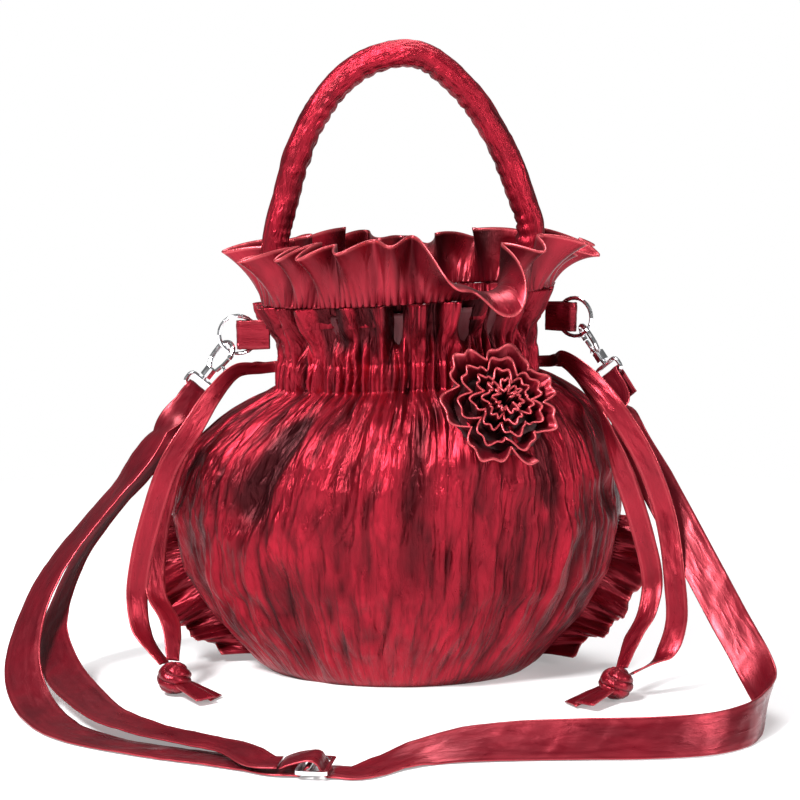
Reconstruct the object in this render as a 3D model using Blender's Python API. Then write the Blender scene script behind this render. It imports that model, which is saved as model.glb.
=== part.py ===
# Kinchaku drawstring bag in crinkled satin. Metres, +Z up, -Y is the front.
# The origin lies on the flat base, under the middle of the bag.

import math

import bmesh
import bpy
import numpy as np
from mathutils import Matrix, Vector
from mathutils.bvhtree import BVHTree

# Body
BODY_HALF_WIDTH = 0.111
BODY_HALF_DEPTH = 0.075
NECK_HALF_WIDTH = 0.0635
NECK_HALF_DEPTH = 0.046
COLLAR_HALF_WIDTH = 0.0715
COLLAR_HALF_DEPTH = 0.054
CHANNEL_LOW = 0.1427
CHANNEL_HIGH = 0.1553
CHANNEL_STITCH = 0.0012
COLLAR_TOP = 0.183
SEAM_Y = 0.006
BELLY_WALL = 0.0030
NECK_WALL = 0.0045
WALL_THICKENS = 0.118
CHANNEL_DEPTH = 0.0026
SLOT_HALF = 0.0055
MOUTH_SHIFT = 0.005
MOUTH_TILT = 0.069
LEAN_LOW = 0.085
LEAN_HIGH = 0.142
SEAT_GAP = 0.0003
PANEL_COLUMNS = 36
GATHERS = 12
NECK_GATHER = 0.0024
GATHER_REACH = 0.036
COLLAR_GATHER = 0.0036

# Lining
LINING_THICKNESS = 0.0012
LINING_EASE = 0.0115
LINING_NECK_EASE = 0.0010
LINING_TOP = 0.179
LINING_COLUMNS = 28

# Frill
FRILL_HEIGHT = 0.030
FRILL_THICKNESS = 0.0012
FRILL_FLARE = 0.42
FRILL_WAVES = 9
FRILL_WAVE = 0.0058
FRILL_COLUMNS = 72
FRILL_ROWS = 3
FRILL_INSET = 0.0022
PETAL_ANGLE = -66.0
PETAL_SPREAD = 14.0
PETAL_CURL = 1.8
DROOP_ANGLE = 2.0
DROOP_SPREAD = 25.0
DROOP_CURL = 0.55
DROOP_SHORTER = 0.26

# Side ruffles
RUFFLE_TOP = 0.074
RUFFLE_FOOT = 0.0045
RUFFLE_WIDTH = 0.017
RUFFLE_WAVE = 0.0072
RUFFLE_WAVES = 4.5
RUFFLE_THICKNESS = 0.0012
RUFFLE_GAP = 0.0011

# Carry handle
HANDLE_RADIUS = 0.0068
HANDLE_SEAT = 0.170
HANDLE_STEPS = 26
HANDLE_EASE = 0.0004

# Rosette
ROSETTE_X = 0.0465
ROSETTE_Z = 0.1345
ROSETTE_FACING = (0.32, -0.79, 0.53)
ROSETTE_RADIUS = 0.0285
ROSETTE_CORE = 0.0045
ROSETTE_TURNS = 3.0
ROSETTE_WAVE = 0.0021
ROSETTE_HEIGHT = 0.011
RIBBON_THICKNESS = 0.0010
BACKING_THICKNESS = 0.0014
BACKING_RADIUS = 0.0235

# Rings and tabs
RING_RADIUS = 0.0093
RING_WIRE = 0.0010
RING_HEIGHT = 0.168
TAB_NECK = 0.005
TAB_HALF_WIDTH = 0.0070
TAB_CLOTH = 0.0011
TAB_RING_GAP = 0.0006
LEFT_TURN = 180.0
RIGHT_TURN = -35.0
HANG_OUT = 0.62
HANG_STEP = 0.02
HANG_LIMIT = 0.99
CLASP_CLEARANCE = 0.006

# Clasps
HOOK_BEND = 0.0052
HOOK_WIRE = 0.00125
HOOK_TILT = 45.0
HOOK_REACH = 0.0016
BARREL_START = 0.0100
BARREL_END = 0.0150
BARREL_RADIUS = 0.0030
BORE_CLEARANCE = 0.0004
POST_RADIUS = 0.0011
EYE_WIRE = 0.0011
EYE_NEAR = 0.0172
EYE_FAR = 0.0235
EYE_HALF_WIDTH = 0.0068
EYE_CORNER = 0.0020
POST_SHARE = 0.96
BORE_FLOOR = 0.0018
TRIGGER_RADIUS = 0.00095
TRIGGER_PIVOT = 0.0089
TRIGGER_SIDE = 0.0034
STUD_RADIUS = 0.00085
STUD_ROOT = (0.0056, 0.0046)
STUD_TIP = (0.0064, 0.0082)
LEVER_MIDDLE = (0.0052, 0.0047)
LEVER_TIP = 0.0011

# Strap and slider
STRAP_WIDTH = 0.018
STRAP_THICKNESS = 0.0012
EYE_STRAP_WIDTH = 0.0105
WRAP_EASE = 0.0002
SLIDER_CENTRE = (-0.0335, -0.187)
SLIDER_TURN = -8.0
SLIDER_LENGTH = 0.014
SLIDER_WIDTH = 0.025
SLIDER_BAR = 0.0018
SLIDER_THICKNESS = 0.0016
SLIDER_LIFT = 0.0026
SLIDER_CORNER = 0.0022
SLOT_CORNER = 0.0008

# Drawcords and knots
CORD_WIDTH = 0.0105
CORD_THICKNESS = 0.0010
LANE_WIDTH = 0.0050
LANE_OFFSET = 0.0031
CORD_DEPTH = 0.0031
KNOT_RADIUS = 0.0082
KNOT_DENT = 0.04
KNOT_END_WIDTH = 0.0065
TAIL_THICKNESS = 0.0016
TAIL_ROOT_WIDTH = 0.006
LEFT_KNOT = (-0.1045, -0.0590, 0.0082)
RIGHT_KNOT = (0.1020, -0.0690, 0.0082)

# Heights as shares of the channel's lower edge, then width and depth as shares of the widest place
BELLY_PROFILE = (
    (0.000, 0.585, 0.600),
    (0.028, 0.640, 0.650),
    (0.096, 0.715, 0.730),
    (0.194, 0.830, 0.845),
    (0.350, 0.950, 0.950),
    (0.540, 1.000, 1.000),
    (0.700, 0.975, 0.975),
    (0.800, 0.910, 0.925),
    (0.905, 0.790, 0.815),
    (0.965, 0.660, 0.700),
)
# Folds pressed into the cloth: angle and spread in degrees, depth, lower and upper height,
# and slant in degrees per metre
BODY_FOLDS = (
    (-129.0, 8.0, 0.0090, 0.078, 0.138, 110.0),
    (-86.0, 5.5, 0.0052, 0.050, 0.140, 0.0),
    (-104.0, 5.5, 0.0030, 0.060, 0.140, -40.0),
    (-71.0, 5.5, 0.0030, 0.030, 0.110, 30.0),
    (-123.0, 6.0, 0.0042, 0.006, 0.066, 60.0),
    (-22.0, 7.0, 0.0050, 0.080, 0.132, -260.0),
    (-58.0, 6.5, 0.0040, 0.020, 0.098, 50.0),
    (-158.0, 6.5, 0.0038, 0.030, 0.110, 0.0),
    (35.0, 8.0, 0.0054, 0.050, 0.136, -90.0),
    (78.0, 7.0, 0.0064, 0.060, 0.138, 60.0),
    (112.0, 6.5, 0.0040, 0.014, 0.090, 0.0),
    (146.0, 8.0, 0.0058, 0.060, 0.136, 120.0),
)

CRIMSON = (0.44, 0.014, 0.035, 1.0)
SATIN = (0.52, 0.022, 0.045, 1.0)
WINE = (0.20, 0.010, 0.022, 1.0)
CHROME = (0.80, 0.80, 0.82, 1.0)


def clear_scene():
    for item in list(bpy.data.objects):
        bpy.data.objects.remove(item, do_unlink=True)


def new_collection(name):
    group = bpy.data.collections.new(name)
    bpy.context.scene.collection.children.link(group)
    return group


def finish_material(name, colour, roughness, metallic):
    material = bpy.data.materials.new(name)
    material.use_nodes = True
    shader = material.node_tree.nodes["Principled BSDF"]
    shader.inputs["Base Color"].default_value = colour
    shader.inputs["Roughness"].default_value = roughness
    shader.inputs["Metallic"].default_value = metallic
    return material


def add_mesh(name, mesh, material, group, smooth=True):
    mesh.materials.clear()
    mesh.materials.append(material)
    if smooth:
        mesh.shade_smooth()
    item = bpy.data.objects.new(name, mesh)
    group.objects.link(item)
    return item


def smooth_step(value, low, high):
    share = np.clip((np.asarray(value, float) - low) / (high - low), 0.0, 1.0)
    return share * share * (3.0 - 2.0 * share)


def dense_path(points):
    """A centripetal spline through the given points, with 16 steps between two of them."""
    given = np.asarray(points, float)
    ends = np.vstack([2 * given[0] - given[1], given, 2 * given[-1] - given[-2]])
    dense = []
    for i in range(1, len(ends) - 2):
        p0, p1, p2, p3 = ends[i - 1 : i + 3]
        t1 = math.sqrt(np.linalg.norm(p1 - p0))
        t2 = t1 + math.sqrt(np.linalg.norm(p2 - p1))
        t3 = t2 + math.sqrt(np.linalg.norm(p3 - p2))
        t = np.linspace(t1, t2, 16, endpoint=False)[:, None]
        a1 = (t1 - t) / t1 * p0 + t / t1 * p1
        a2 = (t2 - t) / (t2 - t1) * p1 + (t - t1) / (t2 - t1) * p2
        a3 = (t3 - t) / (t3 - t2) * p2 + (t - t2) / (t3 - t2) * p3
        b1 = (t2 - t) / t2 * a1 + t / t2 * a2
        b2 = (t3 - t) / (t3 - t1) * a2 + (t - t1) / (t3 - t1) * a3
        dense.append((t2 - t) / (t2 - t1) * b1 + (t - t1) / (t2 - t1) * b2)
    return np.vstack(dense + [given[-1:]])


def smooth_path(points, count):
    """Evenly spaced points on a spline through the given points."""
    dense = dense_path(points)
    reach = np.concatenate([[0.0], np.cumsum(np.linalg.norm(np.diff(dense, axis=0), axis=1))])
    wanted = np.linspace(0.0, reach[-1], count)
    return np.column_stack([np.interp(wanted, reach, dense[:, k]) for k in range(3)])


def lean(points):
    """The mouth sits a little to the right, and its right side is higher."""
    moved = np.array(points, float)
    share = smooth_step(moved[..., 2], LEAN_LOW, LEAN_HIGH)
    moved[..., 2] += MOUTH_TILT * moved[..., 0] * share
    moved[..., 0] += MOUTH_SHIFT * share
    return moved


# Outline of the bag
def outline_table():
    rows = [(h * CHANNEL_LOW, w * BODY_HALF_WIDTH, d * BODY_HALF_DEPTH) for h, w, d in BELLY_PROFILE]
    middle = (CHANNEL_LOW + CHANNEL_HIGH) / 2
    rise = COLLAR_TOP - CHANNEL_HIGH
    rows += [
        (CHANNEL_LOW - CHANNEL_STITCH, NECK_HALF_WIDTH + 0.0012, NECK_HALF_DEPTH + 0.0012),
        (CHANNEL_LOW, NECK_HALF_WIDTH + 0.0005, NECK_HALF_DEPTH + 0.0005),
        (middle, NECK_HALF_WIDTH, NECK_HALF_DEPTH),
        (CHANNEL_HIGH, NECK_HALF_WIDTH - 0.0005, NECK_HALF_DEPTH - 0.0005),
        (CHANNEL_HIGH + CHANNEL_STITCH, NECK_HALF_WIDTH - 0.0008, NECK_HALF_DEPTH - 0.0008),
        (CHANNEL_HIGH + 0.42 * rise, NECK_HALF_WIDTH, NECK_HALF_DEPTH + 0.0010),
        (CHANNEL_HIGH + 0.74 * rise, COLLAR_HALF_WIDTH - 0.0035, COLLAR_HALF_DEPTH - 0.0030),
        (COLLAR_TOP, COLLAR_HALF_WIDTH, COLLAR_HALF_DEPTH),
    ]
    return np.array(rows)


OUTLINE = outline_table()


def half_width(z):
    return np.interp(z, OUTLINE[:, 0], OUTLINE[:, 1])


def half_depth(z):
    return np.interp(z, OUTLINE[:, 0], OUTLINE[:, 2])


def ring_point(angle, z, inset=0.0):
    """A point on the bag's smooth outline, at an angle in radians; the front is at -90 degrees."""
    angle, z, inset = np.broadcast_arrays(np.asarray(angle, float), z, inset)
    depth = half_depth(z) + np.where(np.sin(angle) < 0, SEAM_Y, -SEAM_Y) - inset
    x = (half_width(z) - inset) * np.cos(angle)
    y = SEAM_Y + depth * np.sin(angle)
    return np.stack([x, y, z], axis=-1)


def big_folds(angle, z):
    degrees = np.degrees(angle)
    total = np.zeros(np.broadcast(degrees, z).shape)
    for centre, spread, depth, low, high, slant in BODY_FOLDS:
        middle = (low + high) / 2
        offset = (degrees - centre - slant * (z - middle)) / spread
        window = smooth_step(z, low - 0.012, low + 0.014) * (1 - smooth_step(z, high - 0.014, high + 0.004))
        total -= depth * np.exp(-(offset**2)) * window
    return total


def gathers(angle, z):
    """Outward pleats, tight at the neck and opening along the collar and the shoulder."""
    phase = 2 * GATHERS * angle + 1.1 * np.sin(5 * angle + 0.6)
    below = NECK_GATHER * np.exp(-np.clip(CHANNEL_LOW - z, 0, 1) / GATHER_REACH)
    above = (COLLAR_GATHER - NECK_GATHER) * smooth_step(z, CHANNEL_HIGH, COLLAR_TOP)
    size = (below + above) * smooth_step(z, 0.0, 0.03)
    crinkle = 0.0007 * np.sin(9 * angle + 95 * z) * smooth_step(z, 0.01, 0.03)
    crinkle = crinkle * (1 - smooth_step(z, 0.10, CHANNEL_LOW))
    return size * (0.5 + 0.5 * np.sin(phase)) + crinkle


def pushed(points, amount):
    """Moves points of the outline outwards from the bag's upright axis by that amount."""
    out = points.copy()
    centre = np.array([0.0, SEAM_Y])
    flat = out[..., :2] - centre
    reach = np.maximum(np.linalg.norm(flat, axis=-1), 1e-9)
    out[..., :2] = centre + flat * (1 + amount / np.maximum(reach, 0.02))[..., None]
    return out


def closed_loft(name, outer, inner, wrap=False):
    """One closed body between two like grids of points, joined along their open borders."""
    rows, columns = outer.shape[:2]
    count = rows * columns
    points = np.concatenate([outer.reshape(-1, 3), inner.reshape(-1, 3)])
    last = columns if wrap else columns - 1
    faces = []
    for r in range(rows - 1):
        for c in range(last):
            a, b = r * columns + c, r * columns + (c + 1) % columns
            faces.append((a, b, b + columns, a + columns))
            faces.append((count + a, count + a + columns, count + b + columns, count + b))
    for c in range(last):
        a, b = c, (c + 1) % columns
        faces.append((b, a, count + a, count + b))
        a, b = (rows - 1) * columns + c, (rows - 1) * columns + (c + 1) % columns
        faces.append((a, b, count + b, count + a))
    if not wrap:
        for r in range(rows - 1):
            a, b = r * columns, (r + 1) * columns
            faces.append((a, b, count + b, count + a))
            a, b = a + columns - 1, b + columns - 1
            faces.append((b, a, count + a, count + b))
    mesh = bpy.data.meshes.new(name)
    mesh.from_pydata(points.tolist(), [], faces)
    shell = bmesh.new()
    shell.from_mesh(mesh)
    bmesh.ops.remove_doubles(shell, verts=shell.verts, dist=1e-6)
    bmesh.ops.dissolve_degenerate(shell, edges=shell.edges, dist=1e-7)
    bmesh.ops.recalc_face_normals(shell, faces=shell.faces)
    shell.to_mesh(mesh)
    shell.free()
    return mesh


def sheet_sides(points, thickness, wrap=False):
    """The two faces of a cloth sheet, half its thickness to each side of a grid of points."""
    if wrap:
        padded = np.concatenate([points[:, -1:], points, points[:, :1]], axis=1)
        along = (padded[:, 2:] - padded[:, :-2]) / 2
    else:
        along = np.gradient(points, axis=1)
    across = np.gradient(points, axis=0)
    normal = np.cross(along, across)
    normal /= np.maximum(np.linalg.norm(normal, axis=-1, keepdims=True), 1e-12)
    return points + normal * thickness / 2, points - normal * thickness / 2


def wall_at(z):
    """The cloth thickens with its gathers towards the channel."""
    share = smooth_step(z, WALL_THICKENS, CHANNEL_LOW - CHANNEL_STITCH)
    return BELLY_WALL + (NECK_WALL - BELLY_WALL) * share


def make_panels(group, material):
    heights = np.concatenate([[0.0, 0.0], OUTLINE[1:, 0]])
    shares = np.concatenate([[0.0], np.ones(len(heights) - 1)])
    made = []
    for name, side in (("front_panel", -1), ("back_panel", 1)):
        outer, inner = [], []
        for z, share in zip(heights, shares):
            in_channel = CHANNEL_LOW - 1e-6 < z < CHANNEL_HIGH + 1e-6
            trim = math.asin(SLOT_HALF / half_depth(z)) if in_channel else 0.0
            angle = side * np.linspace(trim, math.pi - trim, PANEL_COLUMNS + 1)
            edge = smooth_step(np.abs(np.sin(angle)), 0.03, 0.30)
            dents = big_folds(angle, z) * edge
            smooth = ring_point(angle, np.full_like(angle, z))
            wall = wall_at(z)
            if in_channel:
                wall = NECK_WALL - CHANNEL_DEPTH
            face = pushed(smooth, dents + gathers(angle, z) * edge)
            back = pushed(ring_point(angle, np.full_like(angle, z), wall), dents)
            if z < BELLY_WALL:
                back[:, 2] = BELLY_WALL
            for ring in (face, back):
                ring[:, :2] = np.array([0.0, SEAM_Y]) + (ring[:, :2] - [0.0, SEAM_Y]) * share
                ring[:, 1] += side * SEAT_GAP / 2
            outer.append(face)
            inner.append(back)
        outer, inner = lean(np.array(outer)), lean(np.array(inner))
        made.append(add_mesh(name, closed_loft(name, outer, inner), material, group))
    return made


def make_lining(group, material):
    angle = np.linspace(0, 2 * math.pi, LINING_COLUMNS, endpoint=False)
    angle = np.where(angle > math.pi, angle - 2 * math.pi, angle)
    shoulder = BELLY_PROFILE[-1][0] * CHANNEL_LOW
    middle = (CHANNEL_LOW + CHANNEL_HIGH) / 2
    heights = (BELLY_WALL, BELLY_WALL, 0.022, 0.052, 0.088, 0.112, 0.128, shoulder,
               CHANNEL_LOW - CHANNEL_STITCH, middle, CHANNEL_HIGH + CHANNEL_STITCH, 0.166, LINING_TOP)
    outer, inner = [], []
    for row, z in enumerate(heights):
        wall = wall_at(z)
        tight = smooth_step(z, 0.126, CHANNEL_LOW - CHANNEL_STITCH)
        ease = wall + LINING_EASE * (1 - tight) + LINING_NECK_EASE * tight
        lift = SEAT_GAP if row < 2 else 0.0
        ring = ring_point(angle, np.full_like(angle, z), ease)
        hollow = ring_point(angle, np.full_like(angle, z), ease + LINING_THICKNESS)
        ring[:, 2] += lift
        hollow[:, 2] += lift + (LINING_THICKNESS if row < 2 else 0.0)
        if row == 0:
            ring[:, :2] = (0.0, SEAM_Y)
            hollow[:, :2] = (0.0, SEAM_Y)
        outer.append(ring)
        inner.append(hollow)
    mesh = closed_loft("lining", lean(np.array(outer)), lean(np.array(inner)), wrap=True)
    return add_mesh("lining", mesh, material, group)


def frill_grid():
    """The frill's sheet rises, flares and waves, folds over at one petal and droops at the right."""
    angle = np.linspace(-math.pi, math.pi, FRILL_COLUMNS, endpoint=False)
    root = ring_point(angle, np.full_like(angle, COLLAR_TOP), FRILL_INSET)
    outward = root[:, :2] - [0.0, SEAM_Y]
    outward /= np.linalg.norm(outward, axis=1, keepdims=True)
    offset = (np.degrees(angle) - PETAL_ANGLE) / PETAL_SPREAD
    droop = np.exp(-(((np.degrees(angle) - DROOP_ANGLE) / DROOP_SPREAD) ** 2))
    curl = PETAL_CURL * np.exp(-(offset**2)) + DROOP_CURL * droop
    height = FRILL_HEIGHT * (1 + 0.10 * np.sin(3 * angle + 0.8) + 0.07 * np.sin(7 * angle))
    height = height * (1 - DROOP_SHORTER * droop)
    wave = np.sin(FRILL_WAVES * angle + 0.9 * np.sin(2 * angle))
    rows = []
    reach = np.zeros_like(angle)
    rise = np.full_like(angle, SEAT_GAP)
    for share in np.linspace(0, 1, FRILL_ROWS + 1):
        ruffle = FRILL_WAVE * wave * share
        ring = root.copy()
        ring[:, :2] += outward * (reach + ruffle)[:, None]
        ring[:, 2] += rise
        rows.append(ring)
        bend = FRILL_FLARE * (0.35 + 0.9 * share) + curl * (0.35 + share)
        reach = reach + np.sin(bend) * height / FRILL_ROWS
        rise = rise + np.cos(bend) * height / FRILL_ROWS
    return lean(np.array(rows))


def make_frill(group, material):
    over, under = sheet_sides(frill_grid(), FRILL_THICKNESS, wrap=True)
    base = over[0, :, 2].copy()
    lowest = lean(np.column_stack([over[0, :, :2], np.full(FRILL_COLUMNS, COLLAR_TOP)]))[:, 2]
    over[0, :, 2] = np.maximum(base, lowest)
    under[0, :, 2] = np.maximum(under[0, :, 2], over[0, :, 2])
    mesh = closed_loft("top_frill", over, under, wrap=True)
    return add_mesh("top_frill", mesh, material, group)


def make_ruffle(group, material, name, side):
    """A wavy strip standing out of the side seam, from the widest place down to the table."""
    share = np.linspace(0, 1, 31)
    z = RUFFLE_TOP + (RUFFLE_FOOT - RUFFLE_TOP) * share
    slope = (half_width(z + 0.004) - half_width(z - 0.003)) / 0.007
    out_z = -slope * smooth_step(z, 0.010, 0.040)
    out_z = np.clip(out_z, -0.9, 0.4)
    outward = np.stack([np.full_like(z, side), np.zeros_like(z), out_z], axis=1)
    outward /= np.linalg.norm(outward, axis=1, keepdims=True)
    start = np.stack([side * (half_width(z) + RUFFLE_GAP), np.full_like(z, SEAM_Y), z], axis=1)
    width = RUFFLE_WIDTH * (0.35 + 0.65 * smooth_step(share, 0.0, 0.22))
    width = width * (1 - 0.45 * smooth_step(share, 0.85, 1))
    wave = np.sin(2 * math.pi * RUFFLE_WAVES * share + (0.0 if side < 0 else 1.3))
    rows = []
    for reach in np.linspace(0, 1, 3):
        row = start + outward * (width * reach)[:, None]
        row[:, 1] += RUFFLE_WAVE * wave * reach ** 1.2 - 0.004 * reach
        row[:, 2] = np.maximum(row[:, 2], 0.0012)
        rows.append(row)
    over, under = sheet_sides(np.array(rows), RUFFLE_THICKNESS)
    over[..., 2] = np.maximum(over[..., 2], SEAT_GAP)
    under[..., 2] = np.maximum(under[..., 2], SEAT_GAP)
    return add_mesh(name, closed_loft(name, over, under), material, group)


def curve_tube(name, points, radius, cyclic=False, resolution=2):
    """A mesh tube along a poly curve with filled, welded ends."""
    data = bpy.data.curves.new(name, "CURVE")
    data.dimensions = "3D"
    data.bevel_depth = radius
    data.bevel_resolution = resolution
    data.use_fill_caps = not cyclic
    data.render_resolution_u = 0
    spline = data.splines.new("POLY")
    spline.points.add(len(points) - 1)
    for slot, point in zip(spline.points, points):
        slot.co = (*point, 1.0)
    spline.use_cyclic_u = cyclic
    item = bpy.data.objects.new(name, data)
    bpy.context.scene.collection.objects.link(item)
    bpy.context.view_layer.update()
    graph = bpy.context.evaluated_depsgraph_get()
    mesh = bpy.data.meshes.new_from_object(item.evaluated_get(graph))
    bpy.data.objects.remove(item, do_unlink=True)
    weld = bmesh.new()
    weld.from_mesh(mesh)
    bmesh.ops.remove_doubles(weld, verts=weld.verts, dist=1e-6)
    bmesh.ops.recalc_face_normals(weld, faces=weld.faces)
    weld.to_mesh(mesh)
    weld.free()
    return mesh


def handle_path():
    """An arch between the two sides of the mouth; its feet stand against the lining."""
    inset = NECK_WALL + LINING_NECK_EASE + LINING_THICKNESS + SEAT_GAP + HANDLE_RADIUS
    foot = float(half_width(HANDLE_SEAT)) - inset - HANDLE_EASE
    rise = ((-foot, HANDLE_SEAT), (-foot - 0.0035, 0.184), (-0.0640, 0.204), (-0.0575, 0.2386),
            (-0.0515, 0.2586), (-0.0415, 0.277), (-0.0310, 0.2888), (-0.0185, 0.2965),
            (-0.0040, 0.2995), (0.0085, 0.2970),
            (0.0200, 0.2892), (0.0315, 0.2780), (0.0420, 0.2627), (0.0512, 0.2441), (0.0575, 0.2261),
            (0.0610, 0.2110), (foot + 0.0035, 0.184), (foot, HANDLE_SEAT))
    points = np.array([(x, SEAM_Y, z) for x, z in rise])
    return lean(smooth_path(points, HANDLE_STEPS))


def make_handle(group, material):
    mesh = curve_tube("carry_handle", handle_path(), HANDLE_RADIUS)
    return add_mesh("carry_handle", mesh, material, group)


# Rosette
def rosette_frame(front_panel):
    """Where the rosette sits: its centre, its outward direction and two directions in its plane."""
    tree = BVHTree.FromPolygons(
        [v.co[:] for v in front_panel.data.vertices], [p.vertices[:] for p in front_panel.data.polygons]
    )
    outward = Vector(ROSETTE_FACING).normalized()
    side = Vector((0, 0, 1)).cross(outward).normalized()
    up = outward.cross(side).normalized()
    start = Vector((ROSETTE_X, -0.16, ROSETTE_Z))
    hit = tree.ray_cast(start, Vector((0, 1, 0)))[0]
    nearest = 1.0
    above = 0.05
    for ring in (0.0, 0.35, 0.7, 1.0):
        for step in range(24):
            turn = 2 * math.pi * step / 24
            spot = hit + (side * math.cos(turn) + up * math.sin(turn)) * BACKING_RADIUS * ring
            found = tree.ray_cast(spot + outward * above, -outward)
            if found[0] is not None:
                nearest = min(nearest, found[3] - above)
    return hit + outward * (SEAT_GAP - nearest), outward, side, up


def make_rosette(group, ribbon_material, disc_material, front_panel):
    centre, outward, side, up = rosette_frame(front_panel)
    axes = np.array([side, up, outward])
    base = np.array(centre)
    disc = bmesh.new()
    bmesh.ops.create_cone(
        disc, cap_ends=True, segments=28, radius1=BACKING_RADIUS, radius2=BACKING_RADIUS * 0.94,
        depth=BACKING_THICKNESS,
    )
    turn = Matrix((side, up, outward)).transposed().to_4x4()
    place = Matrix.Translation(centre + outward * BACKING_THICKNESS / 2) @ turn
    bmesh.ops.transform(disc, matrix=place, verts=disc.verts)
    mesh = bpy.data.meshes.new("rosette_backing")
    disc.to_mesh(mesh)
    disc.free()
    backing = add_mesh("rosette_backing", mesh, disc_material, group, smooth=False)
    steps = int(ROSETTE_TURNS * 30)
    share = np.linspace(0, 1, steps)
    turn_angle = 2 * math.pi * ROSETTE_TURNS * share ** 0.8
    radius = ROSETTE_CORE + (ROSETTE_RADIUS - ROSETTE_CORE) * share ** 0.95
    radius = radius + ROSETTE_WAVE * (0.4 + 0.6 * share) * np.sin(7.3 * turn_angle)
    height = ROSETTE_HEIGHT * (1.0 - 0.35 * share)
    rows = []
    for rise in np.linspace(0, 1, 3):
        open_out = 1 + 0.16 * rise * share
        size = (radius * open_out)[:, None]
        across = size * np.stack([np.cos(turn_angle), np.sin(turn_angle)], axis=1)
        if rise == 0:
            reach = np.linalg.norm(across, axis=1, keepdims=True)
            across *= np.minimum(1, (BACKING_RADIUS - 0.001) / reach)
        level = BACKING_THICKNESS + 2 * SEAT_GAP + height * rise
        local = np.column_stack([across, level])
        rows.append(base + local @ axes)
    over, under = sheet_sides(np.array(rows), RIBBON_THICKNESS)
    ribbon = add_mesh("rosette_ribbon", closed_loft("rosette_ribbon", over, under), ribbon_material, group)
    return ribbon, backing


# Rings, tabs and clasps
class SideFrame:
    """Directions and places shared by one side's tab, ring and clasp."""

    def __init__(self, side, turn):
        angle = math.radians(turn)
        reach = float(half_width(np.linspace(RING_HEIGHT, RING_HEIGHT + TAB_HALF_WIDTH, 5)).max())
        root = 0.75 * (RING_WIRE + TAB_RING_GAP + TAB_CLOTH)
        reach += 2 * SEAT_GAP + root * abs(math.sin(angle))
        self.anchor = Vector(lean(np.array([side * reach, SEAM_Y, RING_HEIGHT])))
        self.out = Vector((math.cos(angle), math.sin(angle), 0))
        self.normal = Vector((0, 0, 1)).cross(self.out)
        self.ring_centre = self.anchor + self.out * (TAB_NECK + RING_RADIUS)
        self.hang = self.hang_direction()
        self.across = self.normal.cross(self.hang)
        self.bowl = self.ring_centre + self.hang * (RING_RADIUS + HOOK_REACH)
        tilt = math.radians(HOOK_TILT)
        self.lateral = self.normal * math.cos(tilt) + self.across * math.sin(tilt)
        self.eye_bar = self.bowl + self.hang * EYE_FAR

    def hang_direction(self):
        """Outwards and down; the clasp leans out further where its eye would meet the shoulder."""
        for share in np.arange(HANG_OUT, HANG_LIMIT, HANG_STEP):
            way = self.out * float(share) - Vector((0, 0, math.sqrt(1 - share**2)))
            if self.clears_shoulder(way):
                break
        return way

    def clears_shoulder(self, way):
        """Whether the eye's four corners stand off the leaning outline of the bag."""
        across = self.normal.cross(way)
        for along in (EYE_NEAR, EYE_FAR):
            for sideways in (-EYE_HALF_WIDTH, EYE_HALF_WIDTH):
                spot = self.ring_centre + way * (RING_RADIUS + HOOK_REACH + along) + across * sideways
                x = spot.x - MOUTH_SHIFT
                z = spot.z - MOUTH_TILT * x
                width = float(half_width(z)) + CLASP_CLEARANCE
                depth = float(half_depth(z)) + SEAM_Y + CLASP_CLEARANCE
                if (x / width) ** 2 + ((spot.y - SEAM_Y) / depth) ** 2 < 1:
                    return False
        return True

    def hook_point(self, along, sideways):
        return self.bowl + self.hang * along + self.lateral * sideways

    def eye_point(self, along, sideways):
        return self.bowl + self.hang * along + self.across * sideways


def make_tab(group, material, name, frame):
    """A strip folded round the ring's wire: a long loop seen from above, open up and down."""
    fold = TAB_NECK + RING_RADIUS + 0.0004
    inner_half = RING_WIRE + TAB_RING_GAP
    outer_half = inner_half + TAB_CLOTH

    def outline(near, far, half):
        bend = np.radians(np.linspace(-90, 90, 7))
        round_end = [(far - half + half * math.cos(b), half * math.sin(b)) for b in bend]
        return round_end + [(near, half * 0.75), (near, -half * 0.75)]

    data = bpy.data.curves.new(name, "CURVE")
    data.dimensions = "2D"
    data.fill_mode = "BOTH"
    data.extrude = TAB_HALF_WIDTH
    data.render_resolution_u = 0
    for near, far, half in ((0.0, fold, outer_half), (0.0024, fold - TAB_CLOTH, inner_half)):
        corners = outline(near, far, half)
        spline = data.splines.new("POLY")
        spline.points.add(len(corners) - 1)
        for slot, (x, y) in zip(spline.points, corners):
            slot.co = (x, y, 0.0, 1.0)
        spline.use_cyclic_u = True
    turn = Matrix((frame.out, frame.normal, Vector((0, 0, 1)))).transposed().to_4x4()
    return flat_solid(name, data, Matrix.Translation(frame.anchor) @ turn, group, material)


def flat_solid(name, data, place, group, material):
    """Turns a flat extruded outline into a welded mesh at its place."""
    item = bpy.data.objects.new(name, data)
    bpy.context.scene.collection.objects.link(item)
    bpy.context.view_layer.update()
    graph = bpy.context.evaluated_depsgraph_get()
    mesh = bpy.data.meshes.new_from_object(item.evaluated_get(graph))
    bpy.data.objects.remove(item, do_unlink=True)
    weld = bmesh.new()
    weld.from_mesh(mesh)
    bmesh.ops.remove_doubles(weld, verts=weld.verts, dist=1e-6)
    bmesh.ops.transform(weld, matrix=place, verts=weld.verts)
    bmesh.ops.recalc_face_normals(weld, faces=weld.faces)
    weld.to_mesh(mesh)
    weld.free()
    return add_mesh(name, mesh, material, group, smooth=False)


def centred(item, origin):
    """Puts an object's origin on its joint without moving its shape."""
    item.data.transform(Matrix.Translation(-Vector(origin)))
    item.location = origin
    return item


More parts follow.
